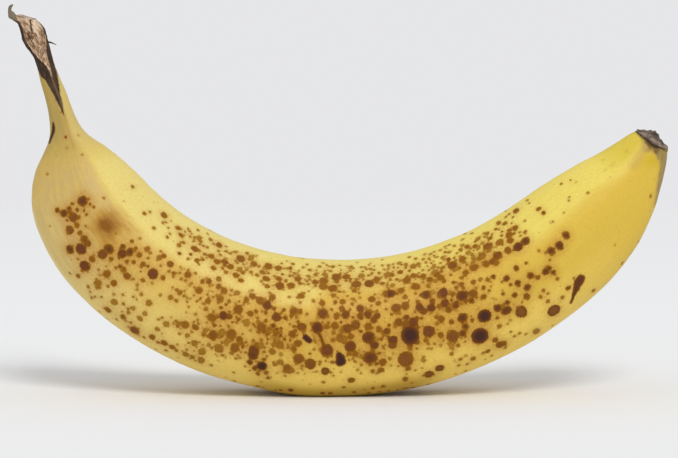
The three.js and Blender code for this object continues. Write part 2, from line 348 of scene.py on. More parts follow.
# ---- the spots ----------------------------------------------------------------
# Those that stand out on the side that shows: x, y and radius in pixels of the
# 678 x 458 frame, then what it is like where it isn't plain:
# k darker, l lighter, d dark core, D darkest core, v crusted and nearly black,
# o lighter middle, f faint, h soft edge.
SPOTS = [
    (47, 174, 1.54, "l"), (57.2, 210.4, 2.65, "d"), (50, 226, 1.1, "f"), (78.7, 135.2, 1.29, "f"),
    (65.8, 137, 1.49, "k"), (67, 148, 1.36, "f"), (72, 204, 1.73, "k"), (69.2, 208.7, 2.53, "k"),
    (77.2, 210.2, 2.07, "k"), (64, 213.2, 3.73, "d"), (73.5, 217.3, 4.5, "k"), (67, 220.2, 1.44, "k"),
    (76.8, 225.7, 2.75), (69.8, 230.2, 4.36), (70, 249.5, 4.49, "d"), (78, 259.2, 1.45), (69.8, 273.2, 1.66, "l"),
    (78, 276, 2.64), (82.3, 154.8, 1.09), (88.5, 199, 1.6), (82.5, 201, 5.05, "dh"), (89.8, 204.4, 1.39, "k"),
    (94, 207, 1.45, "k"), (84, 210.4, 1.57, "k"), (86.2, 214.7, 1.59, "k"), (85.5, 226.2, 1.25), (88, 228, 1, "f"),
    (79.8, 232.8, 2.48), (84, 239, 3.42, "k"), (87.5, 243.2, 3.53, "k"), (81, 249, 5.5, "k"), (92, 259, 3.56),
    (84.8, 266.2, 5.26, "k"), (98.5, 269.7, 1.24), (85.5, 271, 1), (100, 275.5, 1.54, "l"), (98, 283.5, 3.73, "l"),
    (88, 286.7, 1.67, "l"), (99.5, 287.5, 1.6), (90.3, 292.2, 1.33, "l"), (95, 296.6, 1.26), (91.8, 297.4, 1.38),
    (99.2, 311.5, 1.35), (104, 198, 1.41), (109, 249, 5.14, "d"), (102.5, 254.2, 4.44, "k"),
    (119.5, 257.5, 2.03, "k"), (111, 259.2, 2.27, "k"), (106.2, 266.2, 1.35, "l"), (115.7, 267.7, 1.52),
    (106.7, 274, 3.91), (114, 283, 3.35), (108, 286.5, 1.56), (114, 294.3, 1.55, "l"), (101.2, 297.2, 1.38),
    (114, 302.2, 3.55, "l"), (108, 310, 3.6), (116.5, 319.5, 1.35), (133, 187, 1.88), (139.7, 238.3, 1.48, "l"),
    (131.8, 241.4, 1.96, "k"), (123, 246.5, 2.77, "d"), (136, 248.2, 1.7, "k"), (130, 252, 3.75, "d"),
    (122, 253.7, 4.25, "k"), (139, 255, 2.64, "k"), (127.2, 261.4, 1.97, "k"), (133.8, 262.2, 2.26, "k"),
    (120.2, 266.4, 2.14, "k"), (124, 269.2, 2.46, "k"), (127, 276, 3.79), (133.7, 278.8, 1.48),
    (137, 285.5, 1.8, "l"), (137.2, 289.8, 1.6, "l"), (122.7, 294.7, 1.64, "l"), (133.3, 296.9, 1.19),
    (136.7, 299.7, 1.15), (123.2, 303.4, 1.73), (133.2, 308.4, 2.35, "l"), (128.2, 309, 1.6), (122, 311.5, 1),
    (128.2, 312.8, 2.14, "l"), (123, 317, 2.96), (130.5, 322.7, 1.55), (128, 326.7, 1.28, "l"), (134.4, 330.4, 5.14),
    (138, 333.5, 1), (150, 212, 1.53), (144.5, 213.4, 2.03), (154, 228, 1.96), (147, 249.2, 2.84), (150, 253.2, 1.71),
    (148.2, 258.2, 1.44), (158.8, 258, 2.56), (142.8, 264.2, 2.58, "k"), (147.8, 266, 1.7, "k"), (140.5, 271.5, 1),
    (153, 274, 5.03, "k"), (142.6, 280.2, 2.57), (151.7, 283.3, 1.49, "l"), (141.3, 294.7, 1.98, "l"),
    (149, 303, 3.4, "l"), (144.8, 313.7, 2.47, "l"), (139.8, 318.6, 3.25, "l"), (158.5, 319.5, 1.45, "l"),
    (157.3, 329.2, 2.57, "l"), (152, 337, 3.24), (144, 337.5, 1.7), (157.5, 342.5, 1.6, "k"), (164, 215.2, 3.5),
    (171, 221, 1), (166, 222.2, 1.27), (163, 222.8, 1.6), (168.3, 227.7, 1.12), (178.2, 228, 2.91),
    (170, 233.8, 1.6, "l"), (167.3, 237.2, 1.85), (179.2, 245.4, 2.27), (160.7, 251.5, 1.37),
    (179.5, 253.5, 2.04, "k"), (163.5, 256, 2.62, "k"), (170.4, 264.2, 3.39), (160.7, 266, 1.17), (169, 271.5, 1.54),
    (173.8, 273.2, 2.08, "k"), (176.5, 273, 1), (162.8, 277.8, 2.4), (172.5, 287.5, 1), (177, 289.9, 1.96),
    (160.3, 295.2, 1.47, "l"), (170.7, 297.4, 2.31), (176.2, 300.9, 1.97), (162.3, 317.8, 1.22), (175.3, 321.2, 1.15),
    (173, 323.5, 1.6, "l"), (178.6, 324, 2.43), (166, 324, 3.15, "l"), (179.7, 333.7, 1.48, "l"), (164, 343, 3.81),
    (177.3, 344.8, 1.32, "l"), (172, 347.2, 3.04), (176.3, 350.5, 2.03), (165.8, 350.3, 1.71), (181, 229, 1),
    (198, 230, 1.68), (189.5, 231, 1.62), (185.3, 231.8, 1.28), (181.3, 235.2, 3), (190.2, 236.3, 1.52),
    (194.5, 237.5, 1.6), (199, 238, 2.92, "l"), (193.5, 241.3, 1.28), (183.5, 242.5, 1.73, "k"), (199.7, 244.2, 1.18),
    (195, 248.8, 4.15), (199.3, 250.8, 1.49), (191, 254.5, 1.73, "k"), (188, 259.2, 1.53), (197, 260.2, 2.59),
    (180.5, 267, 1.38, "l"), (188.3, 270.2, 1.28), (195.5, 273, 1.57), (180.3, 273, 1.16), (187.8, 274.7, 3.8, "h"),
    (181, 279, 1.65), (185.3, 280.7, 1.45), (192, 283.5, 1.28), (189.7, 285.6, 1.56, "l"), (194.7, 287.7, 1.27),
    (199, 290.2, 3.57), (180, 292.8, 2.39), (183.8, 296, 1.51), (197, 301.5, 1.6), (187.2, 301.8, 1.18),
    (188.7, 306.8, 1.03), (195.3, 314.3, 1.62, "l"), (197.8, 319.7, 1.22), (193.7, 321.9, 1.16), (198.5, 323.7, 1.53),
    (185, 325, 4.28, "l"), (195.5, 327.2, 3.58), (191.5, 332, 1.52, "l"), (187.4, 335.8, 2.38, "l"),
    (194.5, 343.2, 3.34, "l"), (188.5, 343, 1.27), (186.8, 349.7, 1.28, "l"), (185.8, 354.4, 3.33, "l"),
    (192.5, 357, 2.77, "l"), (195.5, 360.5, 1), (207.7, 233.8, 1.35, "l"), (210.7, 239.7, 2.19, "l"),
    (213.5, 244, 1.28, "k"), (219, 245, 3.31, "k"), (203.5, 246, 1.3), (207.5, 247.5, 1.73), (218.5, 251, 1.36, "k"),
    (205, 254.4, 2.54), (211.2, 256.3, 3.21), (202.8, 259.8, 1.83, "k"), (217.2, 261.7, 3.64), (213.6, 268.2, 2.89),
    (219, 279, 2.72), (209, 281.8, 2.86, "k"), (202.5, 281.5, 2.31, "k"), (213, 285, 1.15), (218.5, 286.8, 2.58, "k"),
    (207.3, 294.5, 1.21), (218, 295.5, 1), (213, 297, 1.23), (200.7, 298.3, 1.06), (208, 301.4, 2.85),
    (218.7, 302.7, 1.6), (203.7, 303.7, 1.6), (205.8, 309.2, 2.51), (213.5, 312, 1.6), (207.5, 316.9, 1.28),
    (217.8, 317.3, 1.5, "k"), (212, 317.6, 4.34), (207, 322.5, 1), (214.5, 325.3, 2.02, "k"), (208, 329.7, 1.24),
    (203.5, 334.5, 2.51), (213, 335, 4.67), (207.7, 336.3, 1.15), (208.8, 344.7, 2.03, "l"), (202.8, 344.8, 1.14),
    (211.3, 348, 1.53), (219, 348.6, 4.63, "l"), (202.2, 351.7, 3.48, "l"), (201.6, 360.4, 3.52, "l"),
    (211.3, 365.3, 1.62, "l"), (225.8, 246.3, 1.38, "l"), (226, 251.5, 1.69), (235, 252, 1.67), (230.5, 253.5, 1.61),
    (220.3, 254.8, 1.73), (235.5, 261, 1.57), (225, 262, 3.92), (237.7, 263.2, 1.28), (230.8, 266.7, 3.24),
    (222.5, 268, 1.6), (226, 272.2, 2.41), (236, 275.4, 3.42), (224, 290.7, 3.4), (231.5, 290.7, 1.38),
    (237.5, 292.8, 2.77, "l"), (234.5, 294.5, 1), (230.7, 295.2, 1.1), (220, 299, 3.56, "l"), (229, 301.5, 1.95),
    (239.5, 301.5, 1.31), (226, 304.7, 1.47, "k"), (220.7, 307.7, 1.94, "k"), (238, 309.5, 4.4), (234.3, 312.8, 1.2),
    (223.4, 315.8, 4.4, "k"), (229.3, 316.4, 3.22, "k"), (236.3, 317.5, 1.28, "k"), (238, 319.5, 1.96, "k"),
    (232.3, 322.3, 1.38, "k"), (220.5, 325.7, 1.18), (228.5, 326.5, 1.61), (222, 332.5, 3.59, "l"),
    (231, 334.4, 4.92), (221.5, 337, 1.6, "k"), (239.2, 339.4, 3.34), (226.8, 342.2, 3.08, "l"), (222, 342.5, 1.28),
    (235, 348, 4.55), (231.5, 353, 2.57), (222.8, 355.3, 2.03, "l"), (235.7, 358.7, 1.58, "l"),
    (233.7, 372.3, 1.3, "l"), (234.5, 381.2, 1.73, "k"), (247, 253, 1.73, "k"), (251, 257.7, 2.94, "l"),
    (240.8, 258.7, 4.45), (247, 263.5, 1), (254, 264, 3.44), (243.5, 264.5, 1.28), (250.3, 266.7, 1.28),
    (258.8, 266.8, 1.28), (239.8, 269.2, 2.85, "l"), (246.7, 269.8, 1.6), (251, 272, 2.08, "l"), (243, 273, 2.21),
    (257, 275, 2.14), (240.8, 280.4, 2.95), (252.5, 290.5, 1.16), (252.2, 296.2, 3.44), (246.2, 300.2, 2.71),
    (243.5, 304.5, 1.17), (256, 311.5, 2.03, "k"), (247.5, 312.5, 1), (250.8, 313.7, 3.32), (240.5, 313.9, 1.25),
    (257.5, 317.7, 1.47), (243, 321.5, 1.25), (258, 321.5, 2.03), (246.5, 322.5, 3, "l"), (253.3, 324.3, 1.6),
    (255.7, 326.7, 1.47), (250.5, 330.5, 1.5, "l"), (253.5, 340.5, 1.48), (246.3, 342.5, 1.65),
    (242.5, 346.5, 1.93, "k"), (253.9, 350.4, 5, "k"), (240.7, 352.3, 1.19), (245.3, 352.3, 1.27),
    (253.2, 354.6, 5.1, "d"), (240.3, 358, 1.73, "l"), (249.8, 362.2, 3.1, "d"), (256, 362, 1.2), (245, 366.5, 1),
    (255, 368.2, 2.53, "k"), (250, 370.5, 1), (257.6, 373.8, 2.25), (257.8, 386.2, 2.09, "k"), (268.3, 266.2, 3.81),
    (278.2, 268.2, 3.58), (271.5, 268.5, 1), (262.8, 272.2, 3.22), (268.3, 273, 1.5), (274.5, 276, 1.6),
    (266.2, 278.7, 3.77), (278.9, 278.7, 3.4), (261, 281.3, 1.28), (267.2, 286.2, 2.76), (270, 293, 1.6),
    (272.3, 297.4, 3.35), (260.2, 300.4, 4.03), (267, 305, 4.42, "k"), (273.8, 308.7, 2.07, "k"),
    (262.5, 311.5, 1.28), (265.7, 312.5, 2.03, "k"), (276.5, 317, 4.55, "k"), (266, 320.9, 1.7, "k"),
    (273.3, 325.8, 2.77, "d"), (261.6, 327.2, 4.83), (268, 328.5, 1.5, "k"), (267, 334.5, 1.93, "k"),
    (274.7, 334.7, 2, "k"), (267.5, 339.3, 1.51, "k"), (261.2, 339.8, 1.85), (274.5, 341, 1.86, "k"),
    (267, 343.3, 1.27), (279.4, 344.7, 4.46, "l"), (273.5, 344.7, 2.03), (264, 347.3, 1.46),
    (272.2, 351.7, 3.71, "l"), (264, 352, 1.51), (266.7, 356.1, 1.14), (264, 359.7, 2.02, "k"), (275, 364.5, 2.29),
    (262, 366, 5.2, "D"), (266.2, 372.8, 2.44), (268, 378, 2), (263.2, 387.2, 1.2), (275.8, 390.4, 1.6, "k"),
    (281.7, 263.2, 1.23), (292.8, 264, 1.93), (290.3, 268.2, 1.86, "k"), (284, 268.5, 1), (299, 270.5, 1),
    (290.5, 271.5, 1), (294.4, 273.2, 1.83), (282.5, 274.5, 1.6), (290, 276, 1.73), (298, 279, 3.5),
    (285.6, 281, 1.73, "k"), (291, 285.4, 4.1), (279.8, 285.8, 4.71), (289.2, 297, 1.58), (284, 309.5, 1.93, "k"),
    (293.6, 311.4, 3.68), (281.3, 313.2, 1.1), (296.3, 316.9, 2.14), (291.5, 316.5, 2.03, "k"),
    (285, 317.6, 2.11, "d"), (290, 324, 1), (294, 326.5, 1.65, "k"), (281, 328.3, 1.56, "k"), (292.4, 334.2, 3.77),
    (297.2, 335.2, 1.2), (280.5, 335.5, 2.07, "k"), (284.5, 339.2, 1.73, "k"), (290.4, 340.3, 1.33, "k"),
    (297.7, 343.5, 4.05), (292, 344.5, 1), (288.2, 347.2, 2.03), (282.7, 347.9, 1.28), (293.6, 348.7, 3.21),
    (293.3, 352.7, 1.12), (280.8, 354.3, 1.9, "l"), (298.7, 358.9, 5.5), (280.7, 362.4, 3.37, "l"), (296, 364, 1.28),
    (287, 368, 4.07), (290.1, 370.4, 4.34, "l"), (284, 371.5, 1.6), (290.7, 390.2, 2.77, "d"),
    (280.7, 390.2, 2.03, "k"), (307.2, 264.5, 1.38, "l"), (319.6, 266.5, 1.72), (303.2, 267.3, 1.68, "l"),
    (309.9, 269.8, 2.19, "l"), (315.7, 274.7, 2.31), (308.4, 276.2, 2.3, "l"), (305, 280, 1), (306.8, 281.2, 1.17),
    (315.2, 282.1, 3.21, "k"), (300, 283.5, 2.03), (308.3, 284.3, 1.41), (304.2, 284, 1.28),
    (315.5, 285.8, 1.28, "k"), (301.2, 295.8, 3.49), (313.5, 300.6, 1.84), (300, 302.5, 1.59, "l"),
    (300, 311.6, 2.54), (306.6, 314.2, 1.68), (311.7, 323.7, 1.93), (301.8, 326.8, 4.75), (317.2, 327.9, 5.29, "d"),
    (314.2, 349.3, 1.45, "l"), (310, 353.7, 1.25), (319.9, 361.9, 1.71), (310.2, 364, 5.36), (302.4, 366.2, 1.53),
    (322.8, 262.8, 1.38, "l"), (326.8, 265.2, 1.25), (339.7, 265.3, 1.38, "l"), (332.8, 266.7, 2.03), (325, 271, 1),
    (330.6, 271.1, 1.5, "l"), (324.7, 274.2, 2.73, "l"), (336.4, 277.2, 4.6), (323.7, 280.8, 4.49, "l"),
    (323.2, 286.4, 4.06, "l"), (332.7, 288.2, 4.42), (339.5, 291.7, 1.6, "k"), (333.4, 295.3, 2.98), (338, 298, 1),
    (321, 299.5, 1), (335.1, 302.4, 2.01, "k"), (322.3, 303.2, 3), (331.8, 309.6, 1.58), (322.7, 313.5, 5.03),
    (336.6, 315.7, 3.11), (328.2, 322.6, 1.6, "k"), (322.2, 323, 1.2), (334.8, 325.8, 3.67), (326.2, 326.7, 3.22),
    (333.3, 332.8, 2.25), (333.1, 339.9, 2.53), (320.1, 349.5, 1.46), (326.7, 350.5, 5.99, "k"), (337.5, 351.5, 1),
    (331.8, 356.3, 1.2), (332.3, 362.1, 1.93), (325.2, 371.1, 4.15, "o"), (323.2, 382.3, 1.96, "l"),
    (322.8, 393.2, 2.45, "k"), (330.2, 393.2, 2.13, "k"), (351.2, 267, 2.01), (341, 270, 1),
    (350.7, 270.8, 1.28, "l"), (340.2, 273.8, 1.28), (346.1, 276.7, 3.85), (350.2, 279.3, 2.08), (350.2, 281.8, 1.1),
    (356.3, 284.4, 5.14), (339.6, 285.8, 1.38), (354.4, 290.7, 3), (343.8, 291.7, 1.6, "l"), (359, 293, 1.6),
    (347.5, 296.2, 1.33, "l"), (352.9, 299.2, 1.89), (342.6, 301.4, 3.24), (352.2, 303.8, 1.84), (342, 308.9, 2.98),
    (350, 309.5, 1.38), (345.6, 314.5, 3.86, "k"), (353, 317.5, 1.53, "k"), (341.2, 322.2, 1.7, "k"),
    (355.5, 325.1, 4.59), (347.1, 328.8, 4.67), (350.6, 336.3, 3.42), (340.2, 337.8, 4.2, "l"), (344.2, 338.2, 2.6),
    (350.2, 346.6, 5.27, "k"), (355.3, 353.8, 3.16), (349.2, 353.8, 2.6), (353, 358.5, 1.28), (355.2, 361.7, 1.23),
    (357.7, 369.8, 1.65, "l"), (351.2, 380.3, 3.66, "o"), (343.8, 387.4, 1.76, "k"), (354.2, 392.2, 2.19, "k"),
    (369, 265, 1), (374.5, 266, 1), (361, 267.2, 1.15), (365, 267.5, 1.38, "l"), (370.5, 269, 1.6),
    (374.2, 270, 1.24), (363, 271.5, 1.28), (379, 273.2, 1.7), (371.8, 273.7, 1.7), (361.2, 275.9, 3.25, "l"),
    (368.6, 275.4, 1.93), (376.7, 279.3, 3.49), (369.3, 283.6, 4.71), (375, 294.5, 1.28), (359.8, 297.7, 1.67, "l"),
    (378.5, 298, 1), (371.6, 299.2, 3.62), (378.3, 303.3, 2.86), (371.5, 305.5, 1), (360.2, 308.6, 3.73, "k"),
    (369, 309.5, 1), (377, 311, 1.6), (367.9, 314.3, 3.75, "k"), (376.9, 315.7, 3.33, "k"), (360.2, 316.4, 3.31, "k"),
    (373.7, 320.3, 3.31, "k"), (368.1, 326.7, 3.61), (372, 328, 1.28, "k"), (378.8, 329.2, 3.04),
    (361, 331.5, 1.57, "k"), (368.6, 337.4, 6.2, "d"), (374.2, 345.1, 4.28, "k"), (379.3, 353.5, 1.85, "k"),
    (360.9, 355.3, 1.71), (370.1, 357.7, 7.06, "d"), (376.2, 364, 1.93, "k"), (361.5, 365, 1.57, "l"),
    (372.7, 371.3, 2.11), (373.3, 388.3, 1.94, "k"), (379.4, 391.8, 1.73, "k"), (368.7, 392.8, 1.73, "k"),
    (399.2, 263.2, 2.31, "l"), (393, 264, 1), (382.3, 265.3, 1.21), (393.5, 267.5, 1.28), (388.5, 268, 1.47),
    (384, 269.5, 1.28, "l"), (393, 271.5, 1), (387.4, 274.5, 3.64, "l"), (391.5, 274.8, 3.04), (381, 277.5, 1),
    (385.8, 277.2, 1.84, "l"), (396.8, 279.5, 2.09), (390, 280, 1.6), (399, 281.5, 1), (387.5, 283, 1),
    (382.3, 283.4, 2.31), (392.4, 285.2, 2.76, "l"), (387.1, 285.7, 1.66), (390.2, 293.6, 5.35, "d"),
    (386.5, 293.8, 3.79), (381.6, 294.7, 1.28, "l"), (385.4, 300.9, 1.63), (395.9, 308.2, 4.84), (385.8, 309.2, 1.62),
    (391.8, 314.3, 1.77), (398.9, 322.3, 4.14, "k"), (389, 325.7, 1.47, "k"), (395.2, 325.7, 2),
    (386.4, 331.3, 3.85, "k"), (383.2, 335.8, 1.5, "k"), (381, 339.2, 1.75, "k"), (392.7, 339.9, 4.82, "k"),
    (392.6, 345.1, 4.47), (382.9, 346.8, 1.3), (389.7, 358.7, 1.74, "l"), (382.8, 362.1, 3.64),
    (380.8, 370.1, 3.53, "o"), (383.4, 386.2, 2.31, "k"), (397.1, 389.8, 1.73, "k"), (388.3, 390.8, 1.73, "k"),
    (409.2, 257.2, 1.62, "l"), (415.5, 258.4, 1.62), (405.8, 264.8, 2.14, "l"), (418.4, 264.2, 2.18),
    (413, 266.4, 3.39, "l"), (405.7, 268.2, 1.1), (409.2, 270.8, 1.6), (400.2, 272.1, 3.26), (418.8, 273.2, 1.28),
    (413.5, 275.7, 3.23), (406.8, 280.2, 3.97), (415, 286.4, 4.14), (417.3, 286.8, 3.31), (401.1, 290.5, 3.55),
    (415.5, 293.7, 1.54), (405, 296.8, 2.77), (417.8, 301.9, 2.39, "k"), (405.3, 305.8, 4.09), (415, 312, 1.15),
    (399.8, 314, 1.28), (406.2, 317.3, 3.03, "k"), (416.3, 318.8, 2.76, "k"), (410.2, 335.4, 9, "D"),
    (417.6, 342.4, 2.4, "k"), (410.3, 349.3, 1.93), (417, 348.5, 1), (405.8, 359.3, 7.71), (408.1, 368.8, 2.89),
    (405.3, 379.2, 2.86), (413.1, 387.7, 2.77, "d"), (402.2, 388.2, 1.28, "k"), (406.5, 388, 2.03, "k"),
    (434.3, 251.8, 1.28), (430.6, 254, 1.5, "l"), (430.1, 254.4, 1.5, "l"), (424.7, 254.3, 1.53, "l"),
    (434, 256, 1.28), (437.5, 256.5, 1), (428.8, 258.3, 1.19), (423.2, 258.9, 1.62), (425.9, 262.7, 1.61),
    (431.5, 263, 1.17), (434.1, 265.4, 1.84, "l"), (427.5, 266, 1), (437.5, 267.5, 1.2), (432.6, 267.8, 2.39, "l"),
    (423, 270, 1.28), (428.7, 270.5, 1.28, "k"), (435.1, 272.3, 3.68, "l"), (437, 274.7, 3.86), (423.1, 276.1, 3.23),
    (430.2, 279.5, 3.5), (435.4, 281.1, 2.4, "l"), (423, 282, 1.38), (428.3, 285.9, 2.35), (426.2, 294.8, 5.08, "d"),
    (439.7, 294.8, 3.29, "k"), (421, 295, 1.91, "k"), (432.2, 301.7, 2.76, "k"), (439.2, 306.2, 2.62),
    (431.1, 307.8, 4.38, "k"), (419.8, 307.4, 3.85, "k"), (423.4, 311.2, 3.83, "k"), (436.6, 317.3, 2.3),
    (421.4, 318.3, 1.8, "k"), (437, 323.8, 2.15), (428.8, 331.8, 5.76, "k"), (434.6, 333.3, 2.03),
    (425.7, 340.5, 2.53), (428.3, 343.6, 1.6), (434.6, 343.8, 1.62), (427.9, 348.7, 1.31, "l"),
    (431.7, 348.7, 1.31, "l"), (423.3, 360.3, 2.31, "l"), (439.9, 368.2, 4.33, "o"), (429, 374.4, 4.85, "o"),
    (428.3, 384.3, 1.9, "k"), (422, 386.4, 1.9, "k"), (449.2, 244.8, 1.56, "l"), (454.3, 245.8, 1.55, "l"),
    (445.2, 246.7, 1.3, "l"), (440.2, 250.2, 1.55, "l"), (445, 252, 1.58), (449, 252.4, 1.5), (456.7, 253.2, 1.22),
    (445, 256, 1), (442.2, 257.7, 2.03, "l"), (454.3, 258, 1.38), (448.3, 259.5, 2.14, "k"), (444.5, 260, 1),
    (440.5, 263, 1.29), (446.5, 264.5, 1), (452.7, 265.2, 4.68), (459.2, 268.1, 2.31), (442.6, 267.8, 2.41),
    (454.8, 269.8, 2.57), (450.9, 275, 1.62), (440.6, 278, 3.86), (443.8, 280.8, 2.35, "k"),
    (453.5, 282.5, 1.95, "k"), (456, 287.6, 1.71, "k"), (443.2, 292.8, 4.71, "k"), (452.7, 293.8, 3),
    (451.7, 300.1, 1.46, "k"), (444.8, 303.3, 4.28, "k"), (455.8, 305.2, 3.7, "k"), (448.9, 309.8, 3.45, "k"),
    (441.2, 319.3, 3.53), (451.3, 321.9, 2.36, "k"), (440.8, 335.2, 3.03), (452.7, 336.1, 6.04), (443.5, 340.5, 1),
    (449.7, 343.4, 2.27, "l"), (458.2, 345.3, 2.03), (451.7, 346.3, 2.78, "l"), (440.8, 345.3, 1.65, "l"),
    (453.3, 349.2, 1.21), (451.7, 353.6, 1.94, "l"), (458.9, 365.3, 1.72, "l"), (455.5, 374, 1),
    (465, 233.7, 1.73, "l"), (471.8, 233.3, 1.73, "l"), (477.8, 238.9, 2.54, "l"), (462.7, 239.3, 1.84, "l"),
    (462.4, 245.2, 2.14, "l"), (479.5, 245.5, 1), (475.2, 246.4, 3.26), (467.3, 246.7, 2.68), (477.5, 249.5, 1.23),
    (460.6, 249.8, 2.14), (473.5, 250.5, 1), (468.3, 252.8, 2.58, "l"), (471.9, 254.3, 1.84), (478.9, 258.9, 2.39),
    (462.4, 259, 3.93), (473.4, 258.9, 2.02), (473.1, 262.2, 2.8, "l"), (467.2, 264.5, 1.73), (474.1, 267.4, 4.68),
    (465.7, 272.2, 3.27), (465.7, 275.8, 1.38, "k"), (461.8, 277.8, 2.39), (473.3, 282.2, 2.96),
    (461.2, 284.5, 2.9, "k"), (476.1, 287.9, 1.33), (473, 293.6, 4.34), (462.2, 295.9, 5.62, "d"),
    (476.5, 297.5, 1.28, "k"), (471.5, 300.3, 2.94, "d"), (465.5, 300.9, 2.6, "k"), (467, 315.5, 1),
    (462.5, 317.8, 4.92, "d"), (472.3, 320.5, 2.11, "k"), (462.7, 323.7, 1.5, "k"), (465.5, 326.6, 3.44, "d"),
    (466, 330.2, 2.2), (463, 333.2, 3.4, "k"), (465.5, 337, 1.28), (465.5, 341.5, 1), (479, 344.5, 1),
    (465.6, 355.7, 1.46, "f"), (473.3, 358.7, 2.81), (460.2, 359.3, 2.02), (467, 364.3, 1.63), (465.5, 371, 1.38),
    (498.8, 222.9, 2.36), (495.8, 229.2, 1.95), (486.9, 233.3, 2.35), (484, 237, 1), (490.2, 238.1, 2.78),
    (499.4, 242.1, 4.29, "l"), (482.3, 243.1, 2.21, "l"), (487.7, 246.2, 4.92), (484.3, 250.9, 1.2),
    (488.5, 250.6, 2.94), (497.6, 255.5, 4.54), (481.8, 256, 4.17, "l"), (492.7, 261.5, 4.54), (496.3, 262.8, 3.18),
    (485.8, 263.9, 3.46), (493.3, 276.7, 2.47, "k"), (480.2, 279.5, 2.49), (487.3, 279.7, 2.2), (490.9, 286.4, 1.1),
    (483.6, 287.8, 2.03, "k"), (489.1, 290.4, 1.51, "k"), (483.6, 296.7, 2.9, "k"), (497.6, 308.2, 3.96, "d"),
    (484.6, 316, 7.05, "D"), (497.4, 317.8, 1.78, "k"), (499.4, 326.2, 2.58), (480, 336.1, 8.76, "D"),
    (495.2, 340, 2.78, "k"), (487.9, 351.2, 2.46), (483, 353.2, 1.72, "l"), (491.5, 355.7, 1.27), (516, 210.8, 3.5),
    (505.5, 211, 1.38), (509.2, 214, 1.48, "l"), (505.8, 216.9, 1.51, "l"), (512.7, 217.1, 1.21), (504.8, 223.5, 2.6),
    (511.5, 223.3, 1.1), (515, 228, 3.32), (509.1, 230, 2.39), (501.8, 231.6, 1.5), (513.9, 233.6, 1.93, "k"),
    (509.1, 234.8, 3.92), (501.8, 235.3, 1.48, "k"), (510.3, 240.5, 3.61), (518.1, 246.6, 5.03, "d"),
    (513.3, 250.2, 1.28, "k"), (507.9, 250.4, 3.77), (516.4, 268.4, 2.68, "d"), (506.7, 278.6, 3.33, "d"),
    (501.8, 281.8, 1.18), (517.6, 283.1, 3.05, "d"), (510.7, 284.8, 1.62, "k"), (503.2, 293.8, 1.72, "k"),
    (514.8, 295.2, 2.87, "d"), (507.3, 302.6, 2.72, "d"), (506.5, 310.4, 5.24, "d"), (510.3, 320.1, 1.43, "f"),
    (507.7, 323.7, 1.17), (519.6, 333.3, 1.54, "l"), (514.8, 336.2, 1.9, "l"), (503.6, 343.8, 3.22),
    (500, 344.8, 4.28), (505.5, 347.8, 1.59), (527.2, 200.2, 1.55, "l"), (538.7, 208.8, 2.86),
    (524.8, 220.9, 1.36, "l"), (524.8, 231.8, 2.16), (520.7, 235.8, 1.34, "l"), (525.4, 241.2, 4.49, "d"),
    (538.7, 250.7, 1.48, "l"), (526.3, 262.9, 1.61, "k"), (530.5, 275.6, 3.49, "d"), (537.6, 277.6, 2.33, "k"),
    (527.3, 287.4, 3.74, "d"), (526.5, 296.4, 3.13, "k"), (522, 301.9, 1.32, "l"), (521.2, 311.8, 5.77, "o"),
    (536.4, 331.4, 3.68, "l"), (526, 334.1, 1.54, "l"), (543.6, 212.7, 2.25, "k"), (552.8, 221.7, 1.24),
    (550.8, 222.2, 1.2, "f"), (559.4, 245.7, 3.9, "d"), (551.4, 251.1, 3.63, "d"), (545.7, 252.8, 1.1),
    (549.7, 260.2, 1.16), (548.6, 268.6, 3, "d"), (546, 271.4, 3.85, "d"), (553.3, 272.2, 2.57, "d"),
    (557.5, 278.7, 1.86), (543.4, 290.6, 2.03), (547.8, 293.8, 1.27), (540.6, 296.9, 2.11), (548.1, 301.2, 2.12),
    (553.9, 310.7, 6.81, "o"), (552.5, 325.5, 1), (576, 182, 1, "f"), (561.2, 183.7, 1.32), (569, 197, 1),
    (568.8, 200.4, 1.26), (563.9, 212.5, 1, "f"), (566.1, 235.3, 3.49, "d"), (574.2, 278.2, 1.38),
    (568.2, 288, 2.46, "k"), (562.5, 297.6, 2.14), (587.6, 192.8, 1.56, "l"), (593.6, 290.6, 2), (603, 160, 1.1, "g"),
    (613.7, 162.6, 1, "g"), (611, 166, 1.1, "g"), (605.3, 170.3, 1.1, "g"), (615, 245, 1, "f"),
    (626.5, 151.5, 1.2, "g"), (638.5, 241.5, 1.1), (622.2, 263.2, 1.68, "l"), (650.7, 196.2, 1.7), (405.5, 324, 4),
    (413.3, 322.3, 4.3, "k"), (417.2, 327.5, 2.6, "k"), (409.5, 345.8, 2.4, "k"), (274, 331.3, 2.2),
    (271, 328.7, 2.2), (276.5, 329.3, 2, "k"), (269.5, 332.2, 2), (277.6, 332.8, 1.8, "k"), (272, 337.5, 1.8, "l"),
    (277.2, 338.7, 2.3, "l"), (259, 331.2, 2.5), (263.8, 331, 2.3, "k"), (523.5, 316.5, 1.46, "k"),
    (326.5, 277.5, 1.46, "k"), (407.5, 276.5, 1.46, "k"), (200.5, 241.5, 1.94), (401.5, 264.5, 1.09, "k"),
    (177.5, 326.5, 1.46, "k"), (298.5, 321.5, 1.94, "k"), (475.5, 241.5, 1.46, "k"), (502.5, 244.5, 1.46, "k"),
    (479.5, 253.5, 1.09, "k"), (454.5, 341.5, 1.94, "k"), (82.5, 270.5, 1.94), (518.5, 307.5, 1.94, "k"),
    (295.5, 330.5, 1.94, "k"), (297.5, 297.5, 1.46), (104.5, 308.5, 1.09, "k"), (138.5, 328.5, 1.09, "k"),
    (396.5, 293.5, 1.94, "k"), (120.5, 248.5, 1.46, "k"), (190.5, 358.5, 1.09, "k"), (69.5, 212.5, 2.55, "k"),
    (369.5, 364.5, 1.46, "k"), (418.5, 276.5, 1.94), (441.5, 271.5, 1.94), (336.5, 281.5, 2.55),
